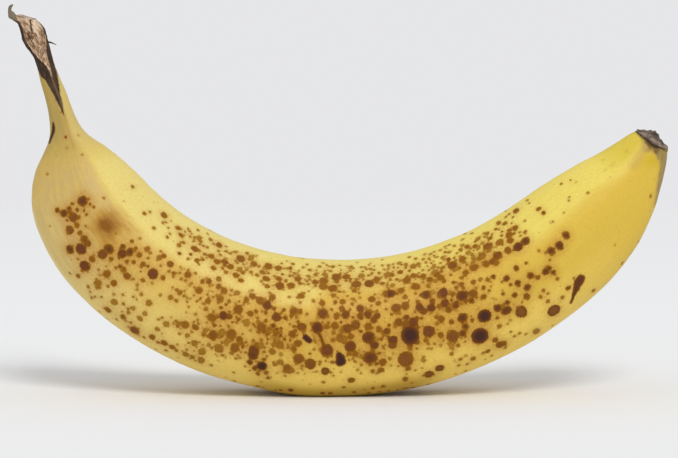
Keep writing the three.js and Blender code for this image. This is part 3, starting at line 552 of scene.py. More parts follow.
    (461.5, 337.5, 1.46, "k"), (244.5, 271.5, 1.09, "k"), (224.5, 265.5, 1.94, "k"), (463.5, 288.5, 1.94),
    (280.5, 331.5, 1.46), (400.5, 280.5, 1.46), (199.5, 357.5, 1.09), (455.5, 260.5, 1.94), (423.5, 375.5, 1.46),
    (239.5, 255.5, 1.09), (260.5, 345.5, 3.4, "l"), (205.5, 330.5, 2.55, "l"), (250.5, 364.5, 1.46, "k"),
    (451.5, 269.5, 1.46), (464.5, 262.5, 1.94), (180.5, 322.5, 1.09), (543.5, 214.5, 1.09), (206.5, 257.5, 1.09),
    (478.5, 247.5, 1.94), (78.5, 217.5, 1.94, "k"), (344.5, 342.5, 2.55), (247.5, 267.5, 1.09),
    (462.5, 322.5, 1.94, "k"), (460.5, 256.5, 1.46), (298.5, 275.5, 1.94, "l"), (388.5, 265.5, 1.94, "l"),
    (482.5, 262.5, 1.09), (390.5, 278.5, 1.09), (388.5, 287.5, 1.46), (253.5, 255.5, 1.46, "l"), (234.5, 292.5, 1.09),
    (214.5, 339.5, 1.46), (137.5, 334.5, 1.46), (554.5, 274.5, 1.46), (423.5, 357.5, 1.46, "l"),
    (181.5, 242.5, 1.94, "l"), (232.5, 339.5, 1.94), (96.5, 279.5, 1.46), (487.5, 237.5, 1.46),
    (263.5, 284.5, 1.46, "l"), (461.5, 303.5, 1.94), (341.5, 330.5, 2.55), (501.5, 257.5, 1.46), (237.5, 270.5, 1.46),
    (449.5, 291.5, 1.09), (472.5, 302.5, 1.46, "k"), (67.5, 233.5, 1.46), (247.5, 325.5, 1.09), (323.5, 355.5, 1.46),
    (141.5, 266.5, 1.94), (372.5, 350.5, 2.55), (173.5, 276.5, 1.46), (555.5, 314.5, 1.46), (301.5, 368.5, 1.46),
    (518.5, 285.5, 1.94, "k"), (377.5, 282.5, 1.94), (241.5, 343.5, 2.55), (410.5, 352.5, 1.09), (423.5, 279.5, 1.46),
    (494.5, 252.5, 1.46), (194.5, 239.5, 1.46, "l"), (488.5, 241.5, 1.09), (97.5, 287.5, 1.94),
    (483.5, 233.5, 1.46, "l"), (327.5, 356.5, 1.94), (549.5, 248.5, 1.46, "k"), (249.5, 259.5, 1.94),
    (438.5, 267.5, 1.46), (91.5, 298.5, 1.09), (473.5, 256.5, 1.94, "l"), (433.5, 374.5, 1.46, "k"),
    (503.5, 305.5, 1.94), (216.5, 295.5, 1.46), (465.5, 321.5, 1.46), (273.5, 362.5, 1.46), (214.5, 258.5, 1.09),
    (484.5, 257.5, 1.46), (329.5, 266.5, 1.46, "l"), (303.5, 331.5, 1.94), (67.5, 252.5, 1.46, "l"),
    (358.5, 288.5, 1.09), (199.5, 362.5, 1.09), (206.5, 278.5, 1.46, "l"), (388.5, 336.5, 1.46, "k"),
    (285.5, 372.5, 1.46), (127.5, 263.5, 1.09), (327.5, 316.5, 1.94), (229.5, 311.5, 1.46), (551.5, 254.5, 1.46),
    (309.5, 279.5, 1.46, "l"), (356.5, 279.5, 1.94), (311.5, 330.5, 1.46), (72.5, 246.5, 1.46), (61.5, 112.5, 1.09),
    (81.5, 240.5, 1.46), (346.5, 280.5, 1.94), (292.5, 275.5, 1.46), (121.5, 270.5, 1.94), (448.5, 263.5, 1.94),
    (345.5, 273.5, 1.09), (353.5, 268.5, 1.09), (219.5, 337.5, 1.46), (493.5, 341.5, 1.46), (355.5, 301.5, 1.46, "l"),
    (439.5, 309.5, 1.46), (317.5, 317.5, 1.94, "l"), (134.5, 250.5, 1.94), (454.5, 309.5, 1.09), (445.5, 258.5, 1.09),
    (363.5, 279.5, 1.09), (199.5, 353.5, 1.09), (236.5, 322.5, 1.46), (105.5, 277.5, 1.09), (225.5, 258.5, 1.94, "l"),
    (213.5, 254.5, 1.09, "l"), (456.5, 289.5, 1.46), (266.5, 271.5, 1.09, "l"), (427.5, 337.5, 1.09, "l"),
    (397.5, 313.5, 1.46), (430.5, 313.5, 1.46, "l"), (187.5, 298.5, 1.46, "l"), (347.5, 318.5, 1.46),
    (215.5, 331.5, 1.09, "l"), (247.5, 254.5, 1.09, "l"), (470.5, 248.5, 1.46, "l"), (382.5, 333.5, 1.46),
    (409.5, 282.5, 1.09, "l"), (376.5, 340.5, 1.46, "l"), (404.5, 283.5, 1.09, "l"), (209.5, 285.5, 1.46, "l"),
    (303.5, 293.5, 1.94, "l"), (184.5, 235.5, 1.09, "l"), (322.5, 308.5, 1.09, "l"), (259.5, 370.5, 1.94),
    (287.5, 344.5, 1.09, "l"), (442.5, 337.5, 1.09, "l"), (261.5, 361.5, 1.46, "l"), (365.5, 308.5, 1.46, "l"),
    (465.5, 303.5, 1.46), (440.5, 298.5, 1.09, "l"), (492.5, 247.5, 1.46, "l"), (318.5, 309.5, 1.46, "l"),
    (349.5, 268.5, 1.46, "l"), (201.5, 257.5, 1.09, "l"), (337.5, 290.5, 1.46, "l"), (481.5, 298.5, 1.94),
    (370.5, 309.5, 1.46), (283.5, 289.5, 1.09, "l"), (443.5, 323.5, 1.09, "l"), (125.5, 320.5, 1.46, "l"),
    (287.5, 268.5, 1.46, "l"), (449.5, 331.5, 1.94, "l"), (237.5, 251.5, 1.09, "l"), (93.5, 255.5, 1.46),
    (231.5, 252.5, 1.09, "l"), (213.5, 322.5, 1.46), (235.5, 304.5, 1.46, "l"), (264.5, 268.5, 1.94, "l"),
    (502.5, 290.5, 1.09, "l"), (87.5, 271.5, 1.46, "l"), (372.5, 363.5, 1.09, "l"), (289.5, 288.5, 1.46, "l"),
    (225.5, 345.5, 1.46, "l"), (458.5, 283.5, 1.46, "l"), (430.5, 282.5, 1.46, "l"), (456.5, 268.5, 1.09, "l"),
    (89.5, 264.5, 1.46, "l"), (196.5, 346.5, 1.46, "l"), (134.5, 326.5, 1.09, "l"), (264.5, 299.5, 1.94, "l"),
    (360.5, 357.5, 1.46, "l"), (203.5, 348.5, 1.46, "l"), (450.5, 304.5, 1.46), (550.5, 270.5, 1.46),
    (295.5, 352.5, 1.09, "l"), (292.5, 307.5, 1.46, "l"), (525.5, 233.5, 1.09, "l"), (285.5, 315.5, 1.09, "l"),
    (419.5, 266.5, 1.46, "l"), (461.5, 262.5, 1.09, "l"), (546.5, 266.5, 1.09, "l"), (248.5, 303.5, 1.09, "l"),
    (110.5, 261.5, 1.46, "l"), (479.5, 237.5, 1.46, "l"), (108.5, 278.5, 1.09, "l"), (432.5, 292.5, 2.55, "l"),
    (217.5, 315.5, 1.46), (256.6, 345.6, 3), (656, 151.8, 1.9, "d"), (649, 145.2, 1.3, "k"),
]
# long marks: x, y, radius at one end, x, y, radius at the other, and its letters
STROKES = [
    (340.2, 362.5, 4.6, 339.2, 354.5, 3.0, "v"), (342.2, 361.5, 4.2, 341, 357, 3.6, "v"),
    (305.2, 337.4, 3.1, 309.4, 340.8, 3.1, "v"), (314.2, 338.8, 0.9, 315.8, 342.6, 1.2, ""),
    (317.5, 331, 2.0, 321.4, 338.5, 1.6, "d"), (321.4, 338.5, 1.6, 324.6, 347, 1.9, "d"),
    (311.5, 333.5, 0.5, 314.6, 339, 0.5, "f"),
    (580.2, 279.3, 5.0, 577.8, 284.5, 4.6, "u"), (577.8, 284.5, 4.6, 575.0, 292, 2.6, "u"),
    (575.0, 292, 2.6, 571.0, 302.8, 1.2, "u"), (492.7, 298.2, 0.8, 496, 299.4, 0.7, "f"),
    (299.6, 257.8, 0.6, 303, 258.4, 0.6, "f"),
    (645.5, 142.0, 1.0, 651.5, 146.0, 1.5, "v"), (651.5, 146.0, 1.5, 659, 149.0, 1.0, "v"),
]

# ---- where each spot lies on the skin -----------------------------------------
# A survey of the skin gives a first place for each pixel, then Newton's steps
# on length and angle bring it there.
survey_s = np.linspace(0, END, 520)
survey_deg = np.arange(0, 360, 1.5)
grid_s, grid_deg = np.meshgrid(survey_s, survey_deg, indexing="ij")
grid_t = t_at(grid_s)
grid_p = skin(grid_t, grid_deg, False)
along_s = np.gradient(grid_p, axis=0)
round_deg = (np.roll(grid_p, -1, 1) - np.roll(grid_p, 1, 1)) / 2
grid_n = np.cross(along_s, round_deg)
grid_area = np.linalg.norm(grid_n, axis=2)
grid_shows = (grid_n * (EYE - grid_p)).sum(2) > 0.06 * grid_area * DISTANCE
grid_px = to_pixels(grid_p)
seen = np.flatnonzero(grid_shows.ravel())
seen_px = grid_px.reshape(-1, 2)[seen]
flatland = kdtree.KDTree(len(seen))
for n, (x, y) in enumerate(seen_px.tolist()):
    flatland.insert((x, y, 0), n)
flatland.balance()


def locate(xy):
    """Length and angle on the skin of each pixel, and whether it is on the fruit."""
    xy = np.asarray(xy, float)
    found = [flatland.find((x, y, 0)) for x, y in xy.tolist()]
    pick = seen[[n for _, n, _ in found]]
    hit = np.array([d for _, _, d in found]) < 5
    s, deg = grid_s.ravel()[pick].copy(), grid_deg.ravel()[pick].copy()
    s0, deg0 = s.copy(), deg.copy()
    for _ in range(4):
        here = to_pixels(skin(t_at(s), deg))
        off = xy - here
        ds = (to_pixels(skin(t_at(s + 0.2), deg)) - here) / 0.2
        dd = (to_pixels(skin(t_at(s), deg + 0.5)) - here) / 0.5
        det = ds[:, 0] * dd[:, 1] - ds[:, 1] * dd[:, 0]
        det = np.where(np.abs(det) < 1e-3, 1e-3, det)
        s = np.clip(s + np.clip((off[:, 0] * dd[:, 1] - off[:, 1] * dd[:, 0]) / det, -1, 1), 0, END - 0.3)
        deg = deg + np.clip((ds[:, 0] * off[:, 1] - ds[:, 1] * off[:, 0]) / det, -4, 4)
    miss = np.linalg.norm(to_pixels(skin(t_at(s), deg)) - xy, axis=1)
    bad = (miss > 1.5) | (np.abs(deg - deg0) > 25) | (np.abs(s - s0) > 6)
    s[bad], deg[bad] = s0[bad], deg0[bad]
    return s, deg, hit


def add(s, deg, r, letters=""):
    tone = 0.06 + 0.62 * float(smooth(np.array(r), 0.3, 1.5)) + 0.09 * float(RNG.normal())
    core = 0.12 * float(RNG.normal())
    halo = 0.75 + 0.35 * float(smooth(np.array(r), 0.3, 1.2))
    hard = 9.0
    if "k" in letters:
        tone, halo = tone + 0.52 - 0.22 * float(smooth(np.array(r), 0.4, 1.1)), halo + 0.15
        r *= 1.04
    if "l" in letters:
        tone, halo = tone - 0.40, halo * 0.6
    if "d" in letters:
        tone, core, halo = tone + 0.45 - 0.25 * float(smooth(np.array(r), 0.5, 1.1)), 0.64, halo + 0.35
        r *= 1.05
    if "D" in letters:
        tone, core, halo = 1.1, 1.55, halo + 0.7
    if "v" in letters:
        tone, core, halo = 1.15, 1.9, 0.05
    if "u" in letters:
        tone, core, halo = 1.15, 0.66, 0.05
    if "o" in letters:
        tone, core, halo = tone + (0.30 if r > 1.15 else -0.08), -0.6, 0.3
    if "f" in letters:
        tone, halo, hard = -0.6, 0.2, 0.0
    if "g" in letters:
        tone, halo, hard = -0.6, 0.1, -0.30
    if "h" in letters:
        halo += 1.2
    placed.append((float(s), float(deg) % 360, r, tone, core, halo, hard))


placed = []  # length, angle, radius, tone, core, halo, and the most it may cover
at_s, at_deg, hit = locate([s[:2] for s in SPOTS])
for spec, s, deg, ok in zip(SPOTS, at_s, at_deg, hit):
    if ok:
        add(s, deg, spec[2] * PIXEL * 1.03, spec[3] if len(spec) > 3 else "")
for x0, y0, r0, x1, y1, r1, letters in STROKES:
    f = np.linspace(0, 1, max(2, int(math.hypot(x1 - x0, y1 - y0) / 0.9) + 1))
    line_s, line_deg, hit = locate(np.stack([x0 + (x1 - x0) * f, y0 + (y1 - y0) * f], 1))
    for k, (s, deg) in enumerate(zip(line_s, line_deg)):
        if hit[k]:
            add(s, deg, (r0 + (r1 - r0) * f[k]) * PIXEL, letters)
known = len(placed)

# The rest are seeded: freckles crowd in bands along the fruit, on every side.
share = np.clip((grid_s - MEET_AT) / (END - MEET_AT), 0, 1)


def crowd(share, d, x):
    """How thick the freckles lie, by angle and pixel column; the share of the length is not used."""
    upper = bump(d, 34, 70, 7) * bump(x, 190, 520, 40) * (0.4 + 0.6 * smooth(x, 200, 380))
    middle = np.minimum(bump(d, 318, 400, 8) + bump(d, -10, 26, 6), 1) * bump(x, 180, 470, 35)
    lower = bump(d, 296, 318, 10) * 0.2 * bump(x, 110, 500, 40)
    early = bump(d, 335, 400, 10) * 0.3 * bump(x, 85, 180, 20)
    top = bump(d, 70, 86, 6) * 0.3 * bump(x, 200, 560, 30)
    return (upper + middle + lower + early + top + 0.02) * (1 - smooth(x, 570, 595))


def crowd_behind(share, d):
    back = (bump(d, 102, 172, 12) * 0.8 * bump(share, 0.2, 0.78, 0.1)
            + bump(d, 178, 262, 14) * bump(share, 0.12, 0.84, 0.1))
    under = bump(d, 262, 298, 12) * 0.22 * bump(share, 0.12, 0.85, 0.1)
    inner = bump(d, 84, 102, 6) * 0.3 * bump(share, 0.22, 0.8, 0.08)
    return back + under + inner + 0.015


patchy = np.clip(0.8 + 1.2 * field(grid_p[::4, ::4], 10.0, 41, 2), 0.1, 1.9)
patchy = np.repeat(np.repeat(patchy, 4, 0), 4, 1)[:grid_p.shape[0], :grid_p.shape[1]]
on_body = grid_s > MEET_AT + 1.5
shown = crowd(share, grid_deg, grid_px[..., 0]) * grid_shows * on_body
hidden = crowd_behind(share, grid_deg) * ~grid_shows * on_body
spot_at, spot_r, cells = [], [], {}


def claim(p, r, room):
    """Whether a spot of that radius fits at p, which it then takes."""
    cell = tuple((p // 3.0).astype(int))
    for dx in (-1, 0, 1):
        for dy in (-1, 0, 1):
            for dz in (-1, 0, 1):
                for q, rq in cells.get((cell[0] + dx, cell[1] + dy, cell[2] + dz), ()):
                    if np.sum((q - p) ** 2) < (rq + r + room) ** 2:
                        return False
    cells.setdefault(cell, []).append((p, r))
    return True


table = np.array(placed)
for p, r in zip(skin(t_at(table[:, 0]), table[:, 1], False), table[:, 2]):
    cells.setdefault(tuple((p // 3.0).astype(int)), []).append((p, r))
for weight, wanted in ((shown, 130), (hidden, 980)):
    weight = (weight * patchy * grid_area).ravel()
    picks = RNG.choice(weight.size, size=wanted * 3, p=weight / weight.sum())
    made = 0
    for i in picks:
        s, deg = grid_s.ravel()[i] + RNG.uniform(-0.2, 0.2), grid_deg.ravel()[i] + RNG.uniform(-0.7, 0.7)
        q, big = RNG.random(), RNG.random()
        if weight is not None and wanted < 400:
            r = 0.20 + 0.12 * q
        else:
            r = 0.24 + 0.62 * q**1.7 + (0.95 * RNG.random() ** 1.8 if big > 0.84 else 0)
        s = min(s, END - 1.5)
        p = skin(t_at(s), deg, False)
        room = 0.12 if RNG.random() > 0.25 else -0.35 * r
        if made >= wanted or not claim(p, r, room):
            continue
        made += 1
        q = RNG.random()
        letters = ""
        if r > 1.0:
            letters = "d" if q < 0.4 else ("o" if q > 0.8 else "")
        elif r < 0.34 and q < 0.3:
            letters = "f"
        add(s, deg, r, letters)
table = np.array(placed)
print("spots read", known, "seeded", len(placed) - known)

# ---- the body's mesh ------------------------------------------------------------
# Vertices are laid out on the unrolled skin, in coordinates that keep angles:
# a centre and rings for each spot, then an even filling; Delaunay joins them.
mean_r = np.maximum(catmull(GIRTH, FINE)[:, :2].mean(1), 0.5)
ROLL = np.concatenate([[0], np.cumsum(np.diff(LENGTH) / ((mean_r[1:] + mean_r[:-1]) / 2))])


def unroll(s, deg):
    return np.stack([np.interp(s, LENGTH, ROLL), np.radians(deg)], -1)


def wrapped(deg):
    return np.mod(np.asarray(deg) + 180.0, 360.0) - 180.0


centre_t = t_at(table[:, 0])
step_s = (skin(t_at(table[:, 0] + 0.1), table[:, 1], False) - skin(centre_t, table[:, 1], False)) / 0.1
step_d = (skin(centre_t, table[:, 1] + 0.5, False) - skin(centre_t, table[:, 1], False)) / 0.5
long_s = np.linalg.norm(step_s, axis=1)
skew = (step_d * step_s).sum(1) / long_s
cross_d = np.sqrt(np.maximum((step_d**2).sum(1) - skew**2, 1e-9))
# a spot that shows near the fruit's upper edge runs a little round the girth
facing = skin(centre_t, table[:, 1], False)
facing = (unit(np.cross(step_s, step_d)) * unit(EYE - facing)).sum(1)
upward = (facing > 0.05) & (table[:, 2] < 2.0) & (table[:, 1] > 20) & (table[:, 1] < 100)
stretch = np.where(upward, np.clip(0.72 / np.maximum(facing, 0.05), 1, 1.3), 1.0)
stretch *= 1 + 0.10 * RNG.normal(size=len(table)).clip(-1.5, 1.5) * (table[:, 2] > 0.5)
layout_s, layout_deg, rank = [], [], []
for k, (s, deg, r, *_rest) in enumerate(table):
    if s < MEET_AT + 0.2:
        continue
    rings_of = [(0.0, 1, 0)]
    if r > 1.0:
        rings_of += [(0.55 * r, 8, 1), (r - 0.05, max(14, int(10 * r)), 1), (r + 0.42, max(14, int(10 * r)), 2)]
    elif r > 0.5:
        rings_of += [(r - 0.02, 10, 1), (r + 0.36, 11, 2)]
    else:
        rings_of += [(max(r, 0.24), 7, 1), (r + 0.34, 7, 2)]
    for radius, count, order in rings_of:
        a = (np.arange(count) + 0.37 * order + 0.61 * k) * 2 * np.pi / count
        x, y = radius * np.cos(a), radius * np.sin(a) * stretch[k]
        dd = y / cross_d[k]
        layout_s += list(s + (x - dd * skew[k]) / long_s[k])
        layout_deg += list(deg + dd)
        rank += [order] * count
layout_s, layout_deg, rank = np.array(layout_s), wrapped(layout_deg), np.array(rank)
girth_at = np.interp(layout_s, LENGTH, mean_r)
inner = (layout_s > MEET_AT + 0.22) & (layout_s < END - 0.18)
inner &= (180 - np.abs(layout_deg)) * np.pi / 180 * girth_at > 0.3
layout_s, layout_deg, rank = layout_s[inner], layout_deg[inner], rank[inner]
layout_p = skin(t_at(layout_s), layout_deg, False)
order = np.argsort(rank, kind="stable")
near_by = kdtree.KDTree(len(order))
for n, p in enumerate(layout_p):
    near_by.insert(p, n)
near_by.balance()
kept, dropped = [], np.zeros(len(order), bool)
APART = {0: 0.17, 1: 0.17, 2: 0.24}
for i in order:
    if dropped[i]:
        continue
    kept.append(i)
    for _, j, _ in near_by.find_range(layout_p[i], APART[2]):
        if j != i and not dropped[j] and (rank[j], j) > (rank[i], i):
            if np.sum((layout_p[i] - layout_p[j]) ** 2) < APART[int(rank[j])] ** 2:
                dropped[j] = True
kept = np.array(kept)
spot_tree = kdtree.KDTree(len(kept))
for n, i in enumerate(kept):
    spot_tree.insert(layout_p[i], n)
spot_tree.balance()

# the filling, row by row: finer at the blossom end, where the skin folds
fill_s, fill_deg = [], []
s, row = MEET_AT, 0
while True:
    h = 0.92 - 0.42 * float(smooth(np.array(s), END - 13, END - 4)) - 0.30 * (1 - float(smooth(np.array(s), MEET_AT, MEET_AT + 5)))
    s += h * 0.866
    if s > END - 0.3:
        break
    count = max(40, int(2 * np.pi * np.interp(s, LENGTH, mean_r) / h))
    fill_s += [s] * count
    fill_deg += list(wrapped((np.arange(count) + 0.5 * (row % 2)) * 360.0 / count + 3.7 * row))
    row += 1
fill_s, fill_deg = np.array(fill_s), np.array(fill_deg)
fill_s = fill_s + RNG.uniform(-0.05, 0.05, len(fill_s))
inner = (180 - np.abs(fill_deg)) * np.pi / 180 * np.interp(fill_s, LENGTH, mean_r) > 0.42
fill_s, fill_deg = fill_s[inner], fill_deg[inner]
fill_p = skin(t_at(fill_s), fill_deg, False)
clear = np.array([spot_tree.find(p)[2] > 0.44 for p in fill_p])
fill_s, fill_deg = fill_s[clear], fill_deg[clear]

seam_s = np.linspace(MEET_AT, END, 215)[1:-1]
ids, flat_s, flat_deg = [], [], []  # each strip point's vertex, length and angle
n_stem = STEM_POINTS * STEM_RINGS
BODY0 = n_stem
free_s = np.concatenate([layout_s[kept], fill_s])
free_deg = np.concatenate([layout_deg[kept], fill_deg])
n_free = len(free_s)
body_s, body_deg = np.concatenate([free_s, seam_s]), np.concatenate([free_deg, np.full(len(seam_s), 180.0)])
n_body = len(body_s)
SCAR0 = BODY0 + n_body
for k in range(-STEM_POINTS // 2, STEM_POINTS // 2 + 1):
    ids.append(n_stem - STEM_POINTS + k % STEM_POINTS)
    flat_s.append(MEET_AT)
    flat_deg.append(k * 360.0 / STEM_POINTS)
for k in range(-SCAR_POINTS // 2, SCAR_POINTS // 2 + 1):
    ids.append(SCAR0 + k % SCAR_POINTS)
    flat_s.append(END)
    flat_deg.append(k * 360.0 / SCAR_POINTS)
for side in (-180.0, 180.0):
    ids += list(range(BODY0 + n_free, BODY0 + n_body))
    flat_s += list(seam_s)
    flat_deg += [side] * len(seam_s)
ids += list(range(BODY0, BODY0 + n_free))
flat_s, flat_deg = np.array(flat_s + list(free_s)), np.array(flat_deg + list(free_deg))
ids = np.array(ids)
strip = unroll(flat_s, flat_deg)
out = delaunay_2d_cdt([Vector(p) for p in strip.tolist()], [], [], 0, 1e-7, True)
back = np.array([o[0] for o in out[3]])
strip_faces = back[np.array([f for f in out[2]])]

body_p = skin(t_at(body_s), body_deg)
end_p = end_c + SCAR_AXIS * 1.34
hook_p = place(frame_at(np.zeros(1), np.zeros(1)))[0] * 0 + stem_p[0].mean(0) - stem["along"][0, 0] * 0.15
verts = np.concatenate([stem_p.reshape(-1, 3), body_p, rim_p, scar_p.reshape(-1, 3), [hook_p, end_p]])
HOOK, CROWN = len(verts) - 2, len(verts) - 1
n_scar = SCAR_POINTS * (SCAR_RINGS + 1)

faces, corner_uv = [], []
UV_STEM, UV_BODY, UV_SCAR = (0.004, 0.79, 0.86, 0.996), (0.004, 0.004, 0.996, 0.78), (0.93, 0.90, 0.062)


def strip_uv(box, s, lo, hi, deg):
    return box[0] + (s - lo) / (hi - lo) * (box[2] - box[0]), box[1] + (deg + 180) / 360 * (box[3] - box[1])


def turn_of(k, count):
    """The angle of point k of a ring, cut at the back, and of the point after it."""
    step = 360.0 / count
    at = k * step - (360.0 if 2 * k >= count else 0.0)
    return at, at + step


for i in range(STEM_RINGS - 1):
    s0, s1 = even[i], even[i + 1]
    a = i * STEM_POINTS
    for j in range(STEM_POINTS):
        k = (j + 1) % STEM_POINTS
        d0, d1 = turn_of(j, STEM_POINTS)
        faces.append((a + j, a + STEM_POINTS + j, a + STEM_POINTS + k, a + k))
        corner_uv += [strip_uv(UV_STEM, q, 0, MEET_AT, d) for q, d in ((s0, d0), (s1, d0), (s1, d1), (s0, d1))]
for f in strip_faces:
    faces.append(tuple(ids[f].tolist()))
    corner_uv += [strip_uv(UV_BODY, flat_s[v], MEET_AT, END, flat_deg[v]) for v in f]


def disc_uv(ring, k, count):
    rho = (1 - ring / (SCAR_RINGS + 1.0)) * UV_SCAR[2]
    return UV_SCAR[0] + rho * math.cos(2 * math.pi * k / count), UV_SCAR[1] + rho * math.sin(2 * math.pi * k / count)


for i in range(SCAR_RINGS):
    a = SCAR0 + i * SCAR_POINTS
    for j in range(SCAR_POINTS):
        k = (j + 1) % SCAR_POINTS
        faces.append((a + j, a + SCAR_POINTS + j, a + SCAR_POINTS + k, a + k))
        corner_uv += [disc_uv(i, j, SCAR_POINTS), disc_uv(i + 1, j, SCAR_POINTS),
                      disc_uv(i + 1, j + 1, SCAR_POINTS), disc_uv(i, j + 1, SCAR_POINTS)]
for j in range(STEM_POINTS):
    d0, d1 = turn_of(j, STEM_POINTS)
    faces.append((HOOK, j, (j + 1) % STEM_POINTS))
    corner_uv += [strip_uv(UV_STEM, q, 0, MEET_AT, d) for q, d in ((-0.15, (d0 + d1) / 2), (0, d0), (0, d1))]
a = SCAR0 + SCAR_RINGS * SCAR_POINTS
for j in range(SCAR_POINTS):
    faces.append((CROWN, a + (j + 1) % SCAR_POINTS, a + j))
    corner_uv += [disc_uv(SCAR_RINGS + 1, j, SCAR_POINTS), disc_uv(SCAR_RINGS, j + 1, SCAR_POINTS),
                  disc_uv(SCAR_RINGS, j, SCAR_POINTS)]

# a short dry fibre stands off the stem's inner edge: x, y and thickness in pixels
FIBRE = np.array([(46.6, 42.4, 2.2), (48.6, 41.9, 1.9), (50.6, 42.1, 1.7), (52.8, 42.8, 1.35), (54.8, 43.7, 0.9),
                  (56.8, 44.7, 0.35)])
fibre_x = (FIBRE[:, 0] - WIDTH / 2) * PIXEL + TARGET[0]
fibre_z = (HEIGHT / 2 - FIBRE[:, 1]) * PIXEL + TARGET[2]
fibre_line = np.stack([fibre_x * 0.9965, np.linspace(-0.5, -1.5, 6), fibre_z], 1)
FIBRE0, SIDES = len(verts), 10
for i, (p, r) in enumerate(zip(fibre_line, FIBRE[:, 2] * PIXEL / 2)):
    d = unit(fibre_line[min(i + 1, 5)] - fibre_line[max(i - 1, 0)])
    e = unit(np.cross(d, [0, 1.0, 0]))
    g = np.cross(d, e)
    turns = np.arange(SIDES) * 2 * math.pi / SIDES
    verts = np.concatenate([verts, [p + r * (math.cos(q) * e + 0.75 * math.sin(q) * g) for q in turns]])


def fibre_uv(i, j):
    return 0.88 + 0.11 * i / 5, 0.80 + 0.03 * j / SIDES


for i in range(5):
    a = FIBRE0 + i * SIDES
    for j in range(SIDES):
        k = (j + 1) % SIDES
        faces.append((a + k, a + SIDES + k, a + SIDES + j, a + j))
        corner_uv += [fibre_uv(i, j + 1), fibre_uv(i + 1, j + 1), fibre_uv(i + 1, j), fibre_uv(i, j)]
for start, flip in ((FIBRE0, False), (FIBRE0 + 5 * SIDES, True)):
    ring = list(range(start, start + SIDES))
    faces.append(tuple(ring[::-1] if flip else ring))
    corner_uv += [(0.88 + (0.05 if flip else 0) + 0.012 * math.cos(2 * math.pi * j / SIDES),
                   0.85 + 0.012 * math.sin(2 * math.pi * j / SIDES)) for j in range(SIDES)]

verts[:, 2] = np.maximum(verts[:, 2], 0.0)
mesh = bpy.data.meshes.new("ripe_banana")
mesh.from_pydata((verts * MM).tolist(), [], faces)
bake_map = mesh.uv_layers.new(name="OFBake", do_init=False)
bake_map.uv.foreach_set("vector", np.array(corner_uv, np.float32).ravel())
mesh.update()
mesh.shade_smooth()
fruit = bpy.data.objects.new("ripe_banana", mesh)
bpy.context.scene.collection.objects.link(fruit)
print("triangles", sum(len(p.vertices) - 2 for p in mesh.polygons), "vertices", len(verts))

# the fruit's own coordinates at each vertex
total = len(verts)
zone = np.zeros(total)  # 0 stem, 1 body, 2 scar
zone[BODY0:SCAR0] = 1
zone[SCAR0:SCAR0 + n_scar] = 2
zone[CROWN] = 2
deg_all, run_all = np.zeros(total), np.zeros(total)
deg_all[:n_stem] = stem_a.ravel()
run_all[:n_stem] = np.repeat(even, STEM_POINTS)
deg_all[BODY0:SCAR0] = np.mod(body_deg, 360)
run_all[BODY0:SCAR0] = body_s
deg_all[SCAR0:SCAR0 + n_scar] = np.tile(scar_deg, SCAR_RINGS + 1)
run_all[SCAR0:SCAR0 + n_scar] = END + np.repeat(np.concatenate([[0], scar_out]), SCAR_POINTS)
run_all[CROWN] = END + 1.3
run_all[FIBRE0:] = length_at(11 / SPAN)
thick = np.maximum(np.interp(run_all, LENGTH, mean_r), 2.5)
flow = np.stack([run_all, np.cos(np.radians(deg_all)) * thick, np.sin(np.radians(deg_all)) * thick], 1)
lines = np.stack([run_all, np.cos(np.radians(deg_all)) * 14, np.sin(np.radians(deg_all)) * 14], 1)
pixels = to_pixels(verts)
normals = np.zeros(total * 3)
mesh.vertices.foreach_get("normal", normals)
shows = (normals.reshape(-1, 3) * unit(EYE - verts)).sum(1) > 0.02

tree = kdtree.KDTree(total)
for i, v in enumerate(verts):
    tree.insert(v, i)
tree.balance()
spot = np.full(total, -3.0)
tone, core, weight = np.zeros(total), np.zeros(total), np.full(total, 1e-6)
haze = np.zeros(total)
centres = skin(t_at(table[:, 0]), table[:, 1])
girthwise = unit(step_d - step_s * (skew / long_s)[:, None])
for (x, y, z), (_, _, r, tn, co, ha, hard), k, side in zip(centres, table, stretch, girthwise):
    found = tree.find_range((x, y, z), r * 1.6 * k + 2.6)
    if not found:
        continue
    idx = np.array([f[1] for f in found])
    d = np.array([f[2] for f in found])
    d = np.sqrt(np.maximum(d**2 - ((verts[idx] - (x, y, z)) @ side) ** 2 * (1 - 1 / k**2), 0))
    into = r - d
    spot[idx] = np.maximum(spot[idx], np.minimum(into, hard))
    w = np.exp(np.clip(into, -3, 3) * 5.0)
    tone[idx] += w * tn
    core[idx] += w * co * np.clip(1 - (d / (r * 0.95)) ** 2, 0, 1)
    weight[idx] += w
    haze[idx] += ha * 0.55 * min(r + 0.15, 1.5) * np.exp(-((np.maximum(d - 0.6 * r, 0) / (0.6 + 0.7 * r)) ** 2))
tone, core = tone / weight, core / weight
haze = 1 - np.exp(-haze * 0.9)
# where they crowd, the peel between them browns too
crowded = np.zeros(total)
for (x, y, z), r, ha in zip(centres, table[:, 2], table[:, 5]):
    if r < 0.3 or ha < 0.1:
        continue
    near = tree.find_range((x, y, z), 6.0)
    idx = np.array([f[1] for f in near], int)
    crowded[idx] += r * r * np.exp(-(((np.array([f[2] for f in near])) / 2.7) ** 2))
dense = smooth(crowded, 2.5, 9.0)
crowded = 1 - np.exp(-0.30 * np.maximum(crowded - 0.5, 0))

# ---- bruise, stains and dry skin ----------------------------------------------
px, py = pixels[:, 0], pixels[:, 1]
share_all = (run_all - MEET_AT) / (END - MEET_AT)


def patch(x, y, wide, high, slant=0.0):
    """From 1 at pixel x, y to 0 away from it, on the side that shows."""
    c, s = math.cos(math.radians(slant)), math.sin(math.radians(slant))
    a, b = (px - x) * c + (py - y) * s, -(px - x) * s + (py - y) * c
    return np.exp(-((a / wide) ** 2 + (b / high) ** 2)) * shows * (zone < 2)


